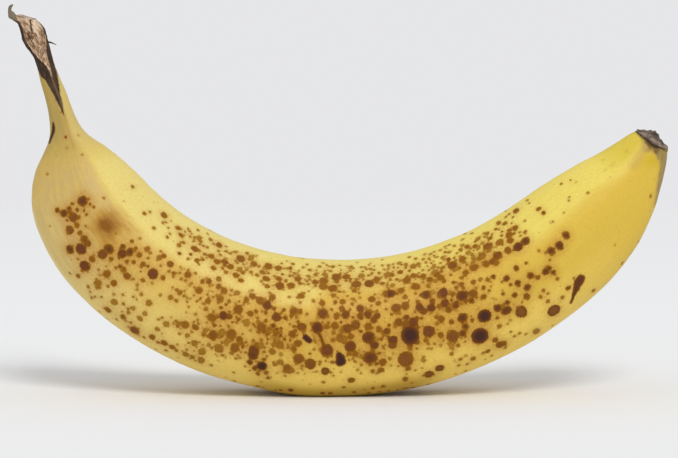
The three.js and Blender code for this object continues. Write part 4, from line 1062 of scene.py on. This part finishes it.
bruise = (0.38 * patch(105.5, 225.5, 6, 4.5, 10) + 0.40 * patch(105.5, 226.5, 10, 9.5) + 0.28 * patch(106, 227, 15, 15)
          + 0.44 * patch(108, 226, 24, 21) + 0.16 * patch(128, 228, 20, 9, 47) + 0.14 * patch(107, 239, 9, 7)
          + 0.12 * patch(96, 222, 7, 6) + 0.10 * patch(110, 212, 6, 7) + 0.10 * patch(97, 212, 14, 5, 15)
          - 0.10 * patch(97, 237, 4, 3.5) + 0.11 * patch(107, 241, 10, 6) + 0.10 * patch(113, 211, 12, 8)
          + 0.12 * patch(142, 232, 19, 8, 47))
bruise = np.clip(bruise, 0, 1.4)
thickly = (0.48 * patch(348, 326, 21, 12) + 0.20 * patch(396, 311, 42, 14)) * (1 - np.minimum(crowded, 0.5))
clearer = 1 - 0.55 * patch(310, 360, 40, 16) - 0.45 * patch(238, 362, 22, 13) - 0.40 * patch(170, 346, 22, 12)
crowded, haze, dense = np.minimum(crowded * clearer + thickly, 1), haze * clearer, dense * clearer
fresh = run_all - MEET_AT
tan = bump(deg_all, 296, 460, 22) + bump(deg_all, -60, 27, 7)
tan = np.clip(tan, 0, 1) * smooth(fresh, -6, 4) * (1 - smooth(fresh, 16, 46))
behind = bump(deg_all, 150, 262, 16) * smooth(fresh, -6, 4) * (1 - smooth(fresh, 14, 40))
tan = np.clip(tan + 0.8 * behind, 0, 1)
neck = 1 - smooth(fresh, -8, 6)
# partly painted light: the neck's upper side gets the paler olive, partly its own colour and partly standing in for
# light from above and the right
neck_light = bump(deg_all, 24, 120, 14)
ridge_line = bump(deg_all, 330, 372, 10) + bump(deg_all, -30, 14, 5)
ridge_line = np.clip(ridge_line, 0, 1) * bump(fresh, -8, 11, 7)
# painted light: the next three masks give the lower side, its left part and its low end paler colours that stand in
# for fill light from the front
lower = bump(deg_all, 270, 336, 14) * smooth(fresh, 4, 16) * (1 - smooth(share_all, 0.72, 0.92))
lower_left = bump(deg_all, 270, 345, 14) * smooth(fresh, 4, 16) * (1 - smooth(share_all, 0.18, 0.45))
low_end = bump(deg_all, 282, 326, 12) * smooth(fresh, 5, 17) * (1 - smooth(share_all, 0.13, 0.21))
pale_from = 26 + 17 * (smooth(share_all, 0.41, 0.47) - smooth(share_all, 0.70, 0.78)) - 9 * smooth(share_all, 0.89, 0.95)
pale = bump(deg_all, pale_from, 158, 11) * smooth(fresh, -6, 6)
keels = np.zeros(total)

torn = np.full(total, -4.0)
torn[:n_stem] = np.where(front, torn_px, -4.0).ravel() * PIXEL
ragged = 2.4 * field(np.stack([u_now, run_now * 0.15, w_now], -1), 1.6, 51, 2)
dark_back = np.minimum((length_at(13.2 / SPAN) - run_now + ragged) * 0.4, 1.5)
turn = smooth(w_now / np.maximum(wide_now, 0.1), -0.25, 0.05)
bark = np.full(total, -4.0)
bark[:n_stem] = (turn * dark_px * PIXEL + (1 - turn) * dark_back).ravel()
slit = np.full(total, -4.0)
slit[:n_stem] = np.where(front, slit_px * PIXEL, -4.0).ravel()
bark[HOOK] = 1.0
bark[FIBRE0:] = 2.0
bark = np.clip(bark, -4, 2)


def on_stem(values, rest=0.0):
    whole = np.full(total, float(rest))
    whole[:n_stem] = values.ravel()
    return whole


def blob(x, y, r):
    return np.exp(-(((sx - x) ** 2 + (sy - y) ** 2) / r**2))


cleft_all = on_stem(cleft)
gap_all = on_stem(np.clip(gap, 0, 1))
crease_all = on_stem(crease * smooth(sy, 112, 118))
shreds = (1.1 * blob(34.5, 25, 5.2) + 0.8 * blob(34, 31, 3) + 0.5 * blob(24, 18.5, 4.5) + 0.5 * blob(46, 56, 2.6)
          + 0.6 * blob(28.5, 17.5, 3) - 0.35 * blob(37, 19.5, 3)
          + 0.5 * near_line(sx, sy, [(27.5, 42), (31.5, 48), (35, 52)], 1.1) + 0.35 * blob(38, 38, 3)
          + 0.55 * near_line(sx, sy, [(45.5, 60), (48, 66), (50, 72)], 1.2)
          - 0.75 * blob(28, 33, 5) - 0.75 * blob(31, 40, 4) - 0.6 * blob(42.5, 33, 3.2) - 0.45 * blob(40, 51, 4)
          - 0.5 * blob(33.5, 46, 3))
shreds_all = on_stem(shreds)
hook = on_stem(np.clip(1 - smooth(sy, 16, 25) + 0.0, 0, 1))
hook[HOOK] = 1.0

scarred = np.full(total, -2.0)
in_scar = zone == 2
scarred[in_scar] = np.clip(run_all[in_scar] - END - 0.10, -0.1, 2)
sunk = np.zeros(total)
sunk[SCAR0 + SCAR_POINTS:SCAR0 + n_scar] = np.clip(hollow, -1, 1).ravel()
crevice = np.zeros(total)
crevice[SCAR0:SCAR0 + n_scar] = np.repeat(np.exp(-(((np.concatenate([[0], scar_out]) - 0.16) / 0.16) ** 2)), SCAR_POINTS)
# on the side that shows, the crevice wanders a little off the scar's foot
FOOT = [(634.5, 130.5), (635.5, 131.5), (638, 134.3), (642, 137.4), (646, 140), (649, 142.6), (652, 145), (656, 146.8),
        (660, 147.9), (664, 148.9), (669, 149.5)]
faces_us = (normals.reshape(-1, 3) * unit(EYE - verts)).sum(1) > -0.55
at_tip = faces_us & (run_all > END - 4) & (verts[:, 1] < 2.5)
above = poly_inside(px, py, FOOT + [(675, 140), (660, 118), (630, 118)]) * PIXEL
scarred = np.where(at_tip, np.clip(above, -2, 2), scarred)
foot_px = near_line(px, py, FOOT, 1.05 + 0.9 * bump(px, 645, 658, 3))
crevice = np.where(at_tip, foot_px * (0.65 + 0.35 * bump(px, 644, 659, 3)) * (1 - 0.4 * smooth(px, 662, 668)), crevice)
char = np.where(at_tip, 1.0, 0.0) * (
    np.exp(-(((px - 653.8) / 2.9) ** 2 + ((py - 133.6) / 1.3) ** 2))
    + 1.2 * np.exp(-(((px - 662.8) / 1.8) ** 2 + ((py - 143.1) / 1.5) ** 2))
    + 0.7 * np.exp(-(((px - 660.3) / 1.4) ** 2 + ((py - 141.2) / 0.8) ** 2))
    + 0.8 * np.exp(-(((px - 654.4) / 1.2) ** 2 + ((py - 137.3) / 1.0) ** 2))
    + 0.5 * np.exp(-(((px - 636.2) / 1.2) ** 2 + ((py - 130.6) / 1.0) ** 2))
    + 0.5 * near_line(px, py, [(641, 131), (647, 132), (651, 133.5)], 0.8))
dust = np.where(at_tip, 1.0, 0.0) * (
    near_line(px, py, [(652, 139), (656, 141.5), (660, 144)], 1.2) + 0.8 * near_line(px, py, [(642, 133), (646, 134.5)], 1.2)
    + 0.6 * near_line(px, py, [(652, 142.5), (656, 144.3), (661, 145.8)], 0.8) + 0.5 * smooth(px, 662, 666))
near_end = smooth(run_all, END - 4.6, END - 0.4) * (zone == 1)
stain = near_end * (0.30 + 0.7 * smooth(field(flow * np.array([0.18, 1, 1]), 3.0, 61, 3), -0.25, 0.35)) * ~shows
outer = bump(deg_all, 246, 284, 12) * smooth(run_all, END - 22, END - 7) * (zone == 1)
stain = np.maximum(stain, 0.95 * outer)
wedge = poly_inside(px, py, [(641.5, 134), (650, 139), (670, 147), (670, 156), (660, 156), (652, 153), (645, 153.5),
                             (641.5, 152.5), (641.8, 145)])
stain = np.maximum(stain, (0.76 + 0.19 * smooth(px, 650, 660)) * smooth(wedge, -1.6, 1.8) * (shows | at_tip))
ridge_down = near_line(px, py, [(643.5, 142), (643, 150), (641, 155), (638, 160), (634, 166)], 4.2)
stain = np.maximum(stain, 0.60 * ridge_down * shows * (zone == 1))
band = poly_inside(px, py, [(653, 148), (672, 148), (672, 170), (662, 207), (653.5, 207), (655.5, 192), (657.5, 180),
                            (658.5, 170), (657, 160)])
stain = np.maximum(stain, 0.95 * smooth(band, -2.2, 1.8) * (shows | at_tip))
clean = poly_inside(px, py, [(648.5, 158.5), (652, 157), (658, 161), (658, 172), (650, 180), (643, 178), (644.5, 168)])
bare = poly_inside(px, py, [(628, 138), (635, 132), (640, 137.5), (640, 148), (634, 154), (628, 150)])
rough_px = 2.4 * field(flow * np.array([0.5, 1, 1]), 1.6, 62, 2)
stain = stain * (1 - 0.92 * smooth(clean + rough_px, -3.5, 3.0) * shows) * (1 - 0.92 * smooth(bare, -1.6, 1.6) * shows)
burnt = (0.75 * near_line(px, py, [(648, 144), (650.5, 149)], 0.9) + 1.0 * patch(655.8, 151.7, 1.9, 1.2, 30)
         + 0.6 * patch(661, 150, 5, 1.6, 12) + 0.3 * patch(653, 148.5, 5, 1.6, 20))
golden = smooth(share_all, 0.52, 0.92)
mid_left = (bump(deg_all, 340, 400, 10) + bump(deg_all, -10, 22, 8)) * smooth(fresh, 22, 42) * (1 - smooth(share_all, 0.28, 0.42))
mid_left = np.clip(mid_left, 0, 1)
tip = smooth(clean, -7, 2) * shows * (zone == 1) * (1 - smooth(py, 161, 171))
# painted shade: a darker colour on the underside, near where the fruit rests, stands in for the contact shadow
under = bump(deg_all, 236, 309.5, 7) * bump(px, 258, 430, 24) * (zone == 1)
cream = pale * (0.35 * smooth(share_all, 0.25, 0.4) + 0.65 * smooth(share_all, 0.5, 0.7)) * (1 - smooth(share_all, 0.94, 0.99))
greenish = bump(deg_all, 24, 120, 10) * smooth(run_all, END - 17, END - 7) * (zone >= 1)
freckle = np.zeros(total)
is_body = zone == 1
freckle[is_body] = np.where(shows[is_body],
                            crowd(share_all[is_body], deg_all[is_body], px[is_body]),
                            crowd_behind(share_all[is_body], deg_all[is_body]))


def attribute(name, values, kind="FLOAT"):
    layer = mesh.attributes.new(name, kind, "POINT")
    layer.data.foreach_set("vector" if kind == "FLOAT_VECTOR" else "value", np.ascontiguousarray(values, np.float32).ravel())


for name, values in (("spot", spot), ("tone", tone), ("core", core), ("haze", haze), ("bruise", bruise), ("tan", tan),
                     ("neck", neck), ("neck_light", neck_light), ("streak", ridge_line), ("pale", pale),
                     ("torn", torn), ("bark", bark), ("slit", slit), ("cleft", cleft_all), ("gap", gap_all),
                     ("crease", crease_all), ("shreds", shreds_all), ("hook", hook), ("scarred", scarred),
                     ("sunk", sunk), ("crevice", crevice), ("char", np.clip(char, 0, 1.2)),
                     ("dust", np.clip(dust, 0, 1.2)), ("burnt", np.clip(burnt, 0, 1)), ("stain", stain),
                     ("golden", golden * (1 - 0.45 * pale)), ("tip", tip), ("crowded", crowded), ("dense", dense),
                     ("greenish", greenish), ("lower", lower), ("under", under),
                     ("lower_left", lower_left), ("low_end", low_end), ("cream", cream),
                     ("mid_left", mid_left),
                     ("freckle", np.clip(freckle, 0, 1))):
    attribute(name, values)
attribute("flow", flow, "FLOAT_VECTOR")
attribute("lines", lines, "FLOAT_VECTOR")


# ---- the material -------------------------------------------------------------
peel = bpy.data.materials.new("banana_peel")
peel.use_nodes = True
tree_nodes, links = peel.node_tree.nodes, peel.node_tree.links
tree_nodes.clear()


def node(kind, **settings):
    n = tree_nodes.new(kind)
    for k, v in settings.items():
        setattr(n, k, v)
    return n


def attr(name, vector=False):
    n = node("ShaderNodeAttribute", attribute_type="GEOMETRY", attribute_name=name)
    return n.outputs["Vector" if vector else "Fac"]


def feed(socket, value):
    if isinstance(value, bpy.types.NodeSocket):
        links.new(value, socket)
    else:
        socket.default_value = value


def maths(op, a, b=0.0, c=0.0, clamp=False):
    n = node("ShaderNodeMath", operation=op, use_clamp=clamp)
    feed(n.inputs[0], a)
    feed(n.inputs[1], b)
    feed(n.inputs[2], c)
    return n.outputs[0]


def times(a, b):
    return maths("MULTIPLY", a, b)


def plus(a, b):
    return maths("ADD", a, b)


def swing(noise_value, amount):
    """Noise turned to run about zero, to that amount each way."""
    return maths("MULTIPLY_ADD", noise_value, 2 * amount, -amount)


def ramp(value, lo, hi, out_lo=0.0, out_hi=1.0, soft=True):
    n = node("ShaderNodeMapRange", interpolation_type="SMOOTHSTEP" if soft else "LINEAR", clamp=True)
    feed(n.inputs["Value"], value)
    n.inputs["From Min"].default_value = lo
    n.inputs["From Max"].default_value = hi
    n.inputs["To Min"].default_value = out_lo
    n.inputs["To Max"].default_value = out_hi
    return n.outputs["Result"]


def blend(fac, a, b):
    n = node("ShaderNodeMix", data_type="RGBA", clamp_factor=True)
    feed(n.inputs[0], fac)
    feed(n.inputs[6], a if isinstance(a, bpy.types.NodeSocket) else (*a, 1))
    feed(n.inputs[7], b if isinstance(b, bpy.types.NodeSocket) else (*b, 1))
    return n.outputs[2]


def scaled(vector, factors):
    n = node("ShaderNodeVectorMath", operation="MULTIPLY")
    feed(n.inputs[0], vector)
    n.inputs[1].default_value = factors
    return n.outputs[0]


def grain(vector, scale, detail=3.0, rough=0.55):
    n = node("ShaderNodeTexNoise", noise_dimensions="3D")
    feed(n.inputs["Vector"], vector)
    n.inputs["Scale"].default_value = scale
    n.inputs["Detail"].default_value = detail
    n.inputs["Roughness"].default_value = rough
    return n.outputs["Fac"]


coords = node("ShaderNodeTexCoord").outputs["Object"]
where = scaled(coords, (1000, 1000, 1000))  # mm
run_v = attr("flow", True)
long_fine = scaled(run_v, (0.07, 1, 1))
long_wide = scaled(run_v, (0.05, 0.4, 0.4))

mottle = grain(where, 0.10, 3, 0.5)
fibres = grain(long_fine, 1.6, 3, 0.6)
streaks = grain(long_wide, 1.5, 3, 0.6)
speckle = grain(where, 2.6, 2, 0.6)
wobble = grain(where, 0.9, 3, 0.6)
fine = grain(where, 1.5, 3, 0.65)

GOLD, PALE, RIPE = (0.745, 0.505, 0.080), (0.780, 0.645, 0.205), (0.700, 0.480, 0.052)
TAN, OLIVE, OLIVE_PALE = (0.575, 0.405, 0.152), (0.400, 0.285, 0.085), (0.61, 0.475, 0.165)

colour = blend(ramp(mottle, 0.35, 0.65, 0.0, 0.5), GOLD, (0.70, 0.47, 0.07))
colour = blend(times(attr("pale"), 0.95), colour, PALE)
colour = blend(times(attr("golden"), 0.8), colour, RIPE)
colour = blend(times(attr("cream"), 0.9), colour, (0.840, 0.690, 0.138))
colour = blend(times(attr("mid_left"), 0.8), colour, (0.735, 0.510, 0.128))
# painted light: the paler lower side, lower left and low end stand in for fill light from the front
colour = blend(times(attr("lower"), 0.9), colour, (0.850, 0.615, 0.128))
colour = blend(times(attr("lower_left"), 0.9), colour, (0.805, 0.615, 0.190))
colour = blend(times(attr("low_end"), 0.9), colour, (0.890, 0.700, 0.240))
# painted shade on the underside near the resting place
colour = blend(times(attr("under"), 0.88), colour, (0.41, 0.252, 0.006))
colour = blend(times(attr("greenish"), 0.75), colour, (0.68, 0.53, 0.040))
colour = blend(attr("tip"), colour, (0.63, 0.445, 0.024))
colour = blend(times(ramp(fibres, 0.45, 0.75), 0.12), colour, (0.60, 0.39, 0.06))
colour = blend(times(attr("tan"), ramp(streaks, 0.25, 0.75, 0.55, 1.0)), colour, TAN)
# the paler olive on the neck's upper side is partly painted light
green = blend(attr("neck_light"), OLIVE, OLIVE_PALE)
colour = blend(times(attr("neck"), ramp(streaks, 0.2, 0.7, 0.75, 1.0)), colour, green)
hairs = grain(scaled(attr("lines", True), (0.03, 1.0, 1.0)), 1.3, 3, 0.6)
colour = blend(times(attr("streak"), ramp(hairs, 0.40, 0.68, 0.0, 0.26)), colour, (0.40, 0.29, 0.10))
colour = blend(times(attr("crease"), 0.6), colour, (0.42, 0.235, 0.04))
colour = blend(ramp(fine, 0.42, 0.68, 0.0, 0.17), colour, (0.50, 0.33, 0.05))
colour = blend(ramp(speckle, 0.42, 0.68, 0.0, 0.14), colour, (0.50, 0.34, 0.07))

crisp = maths("MULTIPLY_ADD", attr("cream"), -0.35, 1.0)  # the pale shoulder browns less round its spots
haze_in = times(times(attr("haze"), ramp(fine, 0.30, 0.70, 0.50, 1.25)), crisp)
crowd_in = times(times(attr("crowded"), ramp(fine, 0.30, 0.70, 0.36, 0.92)), crisp)
colour = blend(crowd_in, colour, (0.52, 0.255, 0.035))
colour = blend(times(attr("dense"), 0.58), colour, (0.36, 0.150, 0.018))
colour = blend(times(haze_in, 0.70), colour, (0.48, 0.215, 0.028))
blur = grain(scaled(run_v, (0.22, 1, 1)), 0.75, 4, 0.7)
bruise_in = times(plus(attr("bruise"), swing(blur, 0.55)), ramp(attr("bruise"), 0.04, 0.30))
colour = blend(times(ramp(bruise_in, 0.0, 0.75), 0.75), colour, (0.47, 0.225, 0.018))
colour = blend(times(ramp(bruise_in, 0.42, 1.30), 0.90), colour, (0.215, 0.070, 0.001))

# freckles too small to lay the mesh round
cells = node("ShaderNodeTexVoronoi", voronoi_dimensions="3D", feature="F1")
links.new(where, cells.inputs["Vector"])
cells.inputs["Scale"].default_value = 0.7
cells.inputs["Randomness"].default_value = 1.0
pick = node("ShaderNodeSeparateColor")
links.new(cells.outputs["Color"], pick.inputs[0])
size = ramp(pick.outputs[0], 0, 1, 0.08, 0.30, False)
dot = ramp(maths("SUBTRACT", size, maths("DIVIDE", cells.outputs["Distance"], 0.7)), -0.09, 0.09)
allowed = ramp(maths("SUBTRACT", maths("MULTIPLY_ADD", attr("freckle"), 0.55, 0.06), pick.outputs[1]), -0.01, 0.01)
colour = blend(times(times(dot, allowed), 0.6), colour, (0.34, 0.185, 0.03))

edge = plus(attr("spot"), plus(swing(wobble, 0.36), swing(fine, 0.26)))
in_spot = ramp(edge, -0.16, 0.14)
rim = ramp(edge, -0.50, -0.02)
deep_in = ramp(edge, 0.05, 0.62)
tone_in = plus(attr("tone"), plus(swing(speckle, 0.20), swing(fine, 0.24)))
faint_spot = blend(ramp(tone_in, -0.6, 0.0), (0.50, 0.318, 0.045), (0.338, 0.166, 0.016))
plum = ramp(attr("spot"), 0.45, 0.95)  # the middles of the large ones are less orange
light_spot = blend(ramp(tone_in, 0.0, 0.4), faint_spot, blend(plum, (0.262, 0.100, 0.003), (0.262, 0.095, 0.016)))
dark_spot = blend(ramp(tone_in, 0.45, 1.05), light_spot, blend(plum, (0.148, 0.045, 0.006), (0.154, 0.046, 0.017)))
core_in = plus(attr("core"), swing(fine, 0.16))
halfway = times(maths("MULTIPLY_ADD", deep_in, -0.5, 0.5), ramp(tone_in, 0.35, 0.8, 1.0, 0.4))
spot_colour = blend(halfway, dark_spot, (0.315, 0.136, 0.007))
spot_colour = blend(times(ramp(core_in, 0.05, 0.7), 0.85), spot_colour, (0.108, 0.036, 0.009))
spot_colour = blend(ramp(core_in, 0.50, 1.30), spot_colour, (0.062, 0.023, 0.018))
spot_colour = blend(ramp(core_in, -0.05, -0.5, 0.0, 0.6), spot_colour, (0.230, 0.098, 0.010))
colour = blend(times(rim, 0.42), colour, (0.45, 0.205, 0.030))
colour = blend(in_spot, colour, spot_colour)

stain_in = times(attr("stain"), ramp(streaks, 0.2, 0.6, 0.65, 1.0))
colour = blend(times(stain_in, 0.9), colour, blend(ramp(attr("stain"), 0.5, 0.95), (0.46, 0.31, 0.07), (0.255, 0.178, 0.072)))
colour = blend(times(attr("burnt"), 0.85), colour, (0.16, 0.075, 0.012))

# dry skin of the stem
strands = grain(scaled(run_v, (0.28, 1, 1)), 1.9, 4, 0.65)
bark_mask = ramp(plus(attr("bark"), swing(strands, 0.40)), -0.10, 0.18)
bark_colour = blend(ramp(strands, 0.36, 0.66), (0.036, 0.022, 0.016), (0.090, 0.053, 0.031))
hook_in = plus(attr("hook"), swing(speckle, 0.2))
bark_colour = blend(ramp(hook_in, 0.1, 0.7), bark_colour, (0.215, 0.175, 0.120))
colour = blend(bark_mask, colour, bark_colour)
slit_mask = ramp(plus(attr("slit"), swing(strands, 0.12)), -0.16, 0.12)
colour = blend(ramp(plus(attr("slit"), 0.35), 0.0, 0.3, 0.0, 0.5), colour, (0.24, 0.12, 0.02))
colour = blend(slit_mask, colour, (0.060, 0.026, 0.008))
colour = blend(times(attr("cleft"), 0.7), colour, (0.27, 0.165, 0.085))
pulp = grain(scaled(run_v, (0.34, 1, 1)), 2.3, 4, 0.7)
torn_mask = ramp(plus(attr("torn"), swing(pulp, 0.32)), -0.08, 0.14)
rawness = plus(attr("shreds"), swing(pulp, 1.5))
torn_colour = blend(ramp(rawness, -0.75, 0.05), (0.125, 0.062, 0.032), (0.455, 0.285, 0.163))
torn_colour = blend(ramp(rawness, 0.0, 0.75), torn_colour, (0.82, 0.65, 0.49))
threads = grain(scaled(run_v, (0.24, 1, 1)), 1.55, 2, 0.55)
torn_colour = blend(ramp(threads, 0.50, 0.38, 0.0, 0.62), torn_colour, (0.175, 0.085, 0.040))
torn_colour = blend(ramp(threads, 0.54, 0.64, 0.0, 0.66), torn_colour, (0.84, 0.62, 0.41))
hairs = grain(scaled(run_v, (0.30, 1, 1)), 2.9, 2, 0.5)
torn_colour = blend(ramp(hairs, 0.49, 0.37, 0.0, 0.58), torn_colour, (0.285, 0.160, 0.082))
torn_colour = blend(ramp(hairs, 0.53, 0.65, 0.0, 0.58), torn_colour, (0.92, 0.73, 0.55))
torn_colour = blend(times(ramp(attr("gap"), 0.25, 0.8), 0.9), torn_colour, (0.060, 0.026, 0.014))
colour = blend(torn_mask, colour, torn_colour)

# the blossom scar
crust = grain(scaled(run_v, (1.0, 0.42, 0.42)), 1.2, 4, 0.6)
scar_mask = ramp(plus(attr("scarred"), swing(crust, 0.10)), -0.12, 0.12)
scar_colour = blend(ramp(crust, 0.34, 0.62), (0.105, 0.080, 0.064), (0.235, 0.180, 0.138))
scar_colour = blend(times(attr("dust"), ramp(crust, 0.3, 0.6, 0.45, 0.9)), scar_colour, (0.37, 0.285, 0.22))
scar_colour = blend(ramp(attr("sunk"), 0.08, 0.4, 0.0, 0.7), scar_colour, (0.070, 0.045, 0.030))
scar_colour = blend(times(attr("char"), 0.92), scar_colour, (0.045, 0.037, 0.036))
colour = blend(scar_mask, colour, scar_colour)
colour = blend(times(attr("crevice"), 0.92), colour, (0.036, 0.020, 0.005))

rough = ramp(fibres, 0.3, 0.7, 0.42, 0.52)
rough = maths("MULTIPLY_ADD", in_spot, 0.06, rough)
dry_any = maths("MAXIMUM", maths("MAXIMUM", torn_mask, scar_mask), times(bark_mask, 0.6))
rough = maths("MULTIPLY_ADD", dry_any, 0.38, rough, clamp=True)

height = plus(times(fibres, 0.10), times(grain(where, 1.4, 3, 0.6), 0.10))
height = maths("SUBTRACT", height, times(in_spot, 0.18))
height = plus(height, times(times(plus(pulp, times(threads, 0.8)), torn_mask), 2.2))
height = plus(height, times(times(strands, bark_mask), 1.2))
height = plus(height, times(times(crust, scar_mask), 2.4))
relief = node("ShaderNodeBump")
relief.inputs["Strength"].default_value = 0.8
relief.inputs["Distance"].default_value = 0.00022
links.new(height, relief.inputs["Height"])

shader = node("ShaderNodeBsdfPrincipled")
links.new(colour, shader.inputs["Base Color"])
links.new(rough, shader.inputs["Roughness"])
links.new(relief.outputs["Normal"], shader.inputs["Normal"])
dull = maths("MAXIMUM", maths("MAXIMUM", in_spot, maths("MAXIMUM", bark_mask, slit_mask)), dry_any)
links.new(maths("MULTIPLY_ADD", dull, -0.11, 0.2), shader.inputs["Specular IOR Level"])
out_node = node("ShaderNodeOutputMaterial")
links.new(shader.outputs[0], out_node.inputs[0])
mesh.materials.append(peel)

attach(fruit, "root")
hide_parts("banana")

# ---- floor, light and camera ------------------------------------------------
scene = bpy.context.scene
scene.view_settings.view_transform = "Standard"
scene.view_settings.look = "None"

ring_r = [0.12, 0.3, 0.5, 0.69]
floor_mesh = bpy.data.meshes.new("floor")
fv, ff = [(0, 0, 0)], []
for r in ring_r:
    fv += [(r * math.cos(a), r * math.sin(a), 0) for a in np.arange(96) * 2 * math.pi / 96]
for j in range(96):
    ff.append((0, 1 + j, 1 + (j + 1) % 96))
for i in range(len(ring_r) - 1):
    for j in range(96):
        a, b = 1 + i * 96 + j, 1 + i * 96 + (j + 1) % 96
        ff.append((a, a + 96, b + 96, b))
floor_mesh.from_pydata(fv, [], ff)
floor_mesh.update()
floor = bpy.data.objects.new("floor", floor_mesh)
scene.collection.objects.link(floor)
floor_mat = bpy.data.materials.new("floor")
floor_mat.use_nodes = True
tree_nodes, links = floor_mat.node_tree.nodes, floor_mat.node_tree.links
tree_nodes.clear()
reach = node("ShaderNodeVectorMath", operation="LENGTH")
links.new(node("ShaderNodeTexCoord").outputs["Object"], reach.inputs[0])
matt = node("ShaderNodeBsdfDiffuse")
# painted shade: the floor's colour darkens from the middle out towards its rim
links.new(blend(ramp(reach.outputs["Value"], 0.10, 0.62), (0.864, 0.870, 0.880), (0.824, 0.832, 0.840)), matt.inputs["Color"])
thin = node("ShaderNodeMixShader")
links.new(ramp(reach.outputs["Value"], 0.56, 0.685), thin.inputs[0])
links.new(matt.outputs[0], thin.inputs[1])
links.new(node("ShaderNodeBsdfTransparent").outputs[0], thin.inputs[2])
links.new(thin.outputs[0], node("ShaderNodeOutputMaterial").inputs[0])
floor_mesh.materials.append(floor_mat)

# The studio is brightest overhead and dim behind the camera, low down, so the
# dark spots keep their colour. What the camera sees past the floor is even.
world = bpy.data.worlds.new("studio")
scene.world = world
world.use_nodes = True
tree_nodes, links = world.node_tree.nodes, world.node_tree.links
tree_nodes.clear()
way = node("ShaderNodeSeparateXYZ")
links.new(node("ShaderNodeTexCoord").outputs["Generated"], way.inputs[0])
overhead = ramp(way.outputs["Z"], 0.0, 0.85, 1.02, 0.86)
low = ramp(way.outputs["Z"], 0.45, 0.9, 1.0, 0.0)
near_side = ramp(maths("MULTIPLY", way.outputs["Y"], -1.0), 0.0, 0.7)
far_side = ramp(way.outputs["Y"], -0.1, 0.8)
level = times(overhead, maths("MULTIPLY_ADD", times(near_side, low), -0.20, 1.0))
level = times(level, maths("MULTIPLY_ADD", far_side, -0.18, 1.0))
room = node("ShaderNodeBackground")
links.new(level, room.inputs["Strength"])
even_room = node("ShaderNodeBackground")
even_room.inputs["Color"].default_value = (0.795, 0.797, 0.817, 1)
which = node("ShaderNodeMixShader")
links.new(node("ShaderNodeLightPath").outputs["Is Camera Ray"], which.inputs[0])
links.new(room.outputs[0], which.inputs[1])
links.new(even_room.outputs[0], which.inputs[2])
links.new(which.outputs[0], node("ShaderNodeOutputWorld").inputs[0])

sun_data = bpy.data.lights.new("key", "SUN")
sun_data.energy = 1.42
sun_data.angle = math.radians(21)
sun = bpy.data.objects.new("key", sun_data)
scene.collection.objects.link(sun)
sun.rotation_mode = "QUATERNION"
sun.rotation_quaternion = Vector((-0.26, 0.95, -1.0)).to_track_quat("-Z", "Y")

camera_data = bpy.data.cameras.new("camera")
camera_data.sensor_width = 36.0
camera_data.lens = 36.0 * FOCAL / WIDTH
camera_data.clip_start, camera_data.clip_end = 0.01, 20
camera = bpy.data.objects.new("camera", camera_data)
scene.collection.objects.link(camera)
camera.location = Vector(EYE) * MM
camera.rotation_mode = "QUATERNION"
camera.rotation_quaternion = Vector(TARGET - EYE).to_track_quat("-Z", "Y")
scene.camera = camera
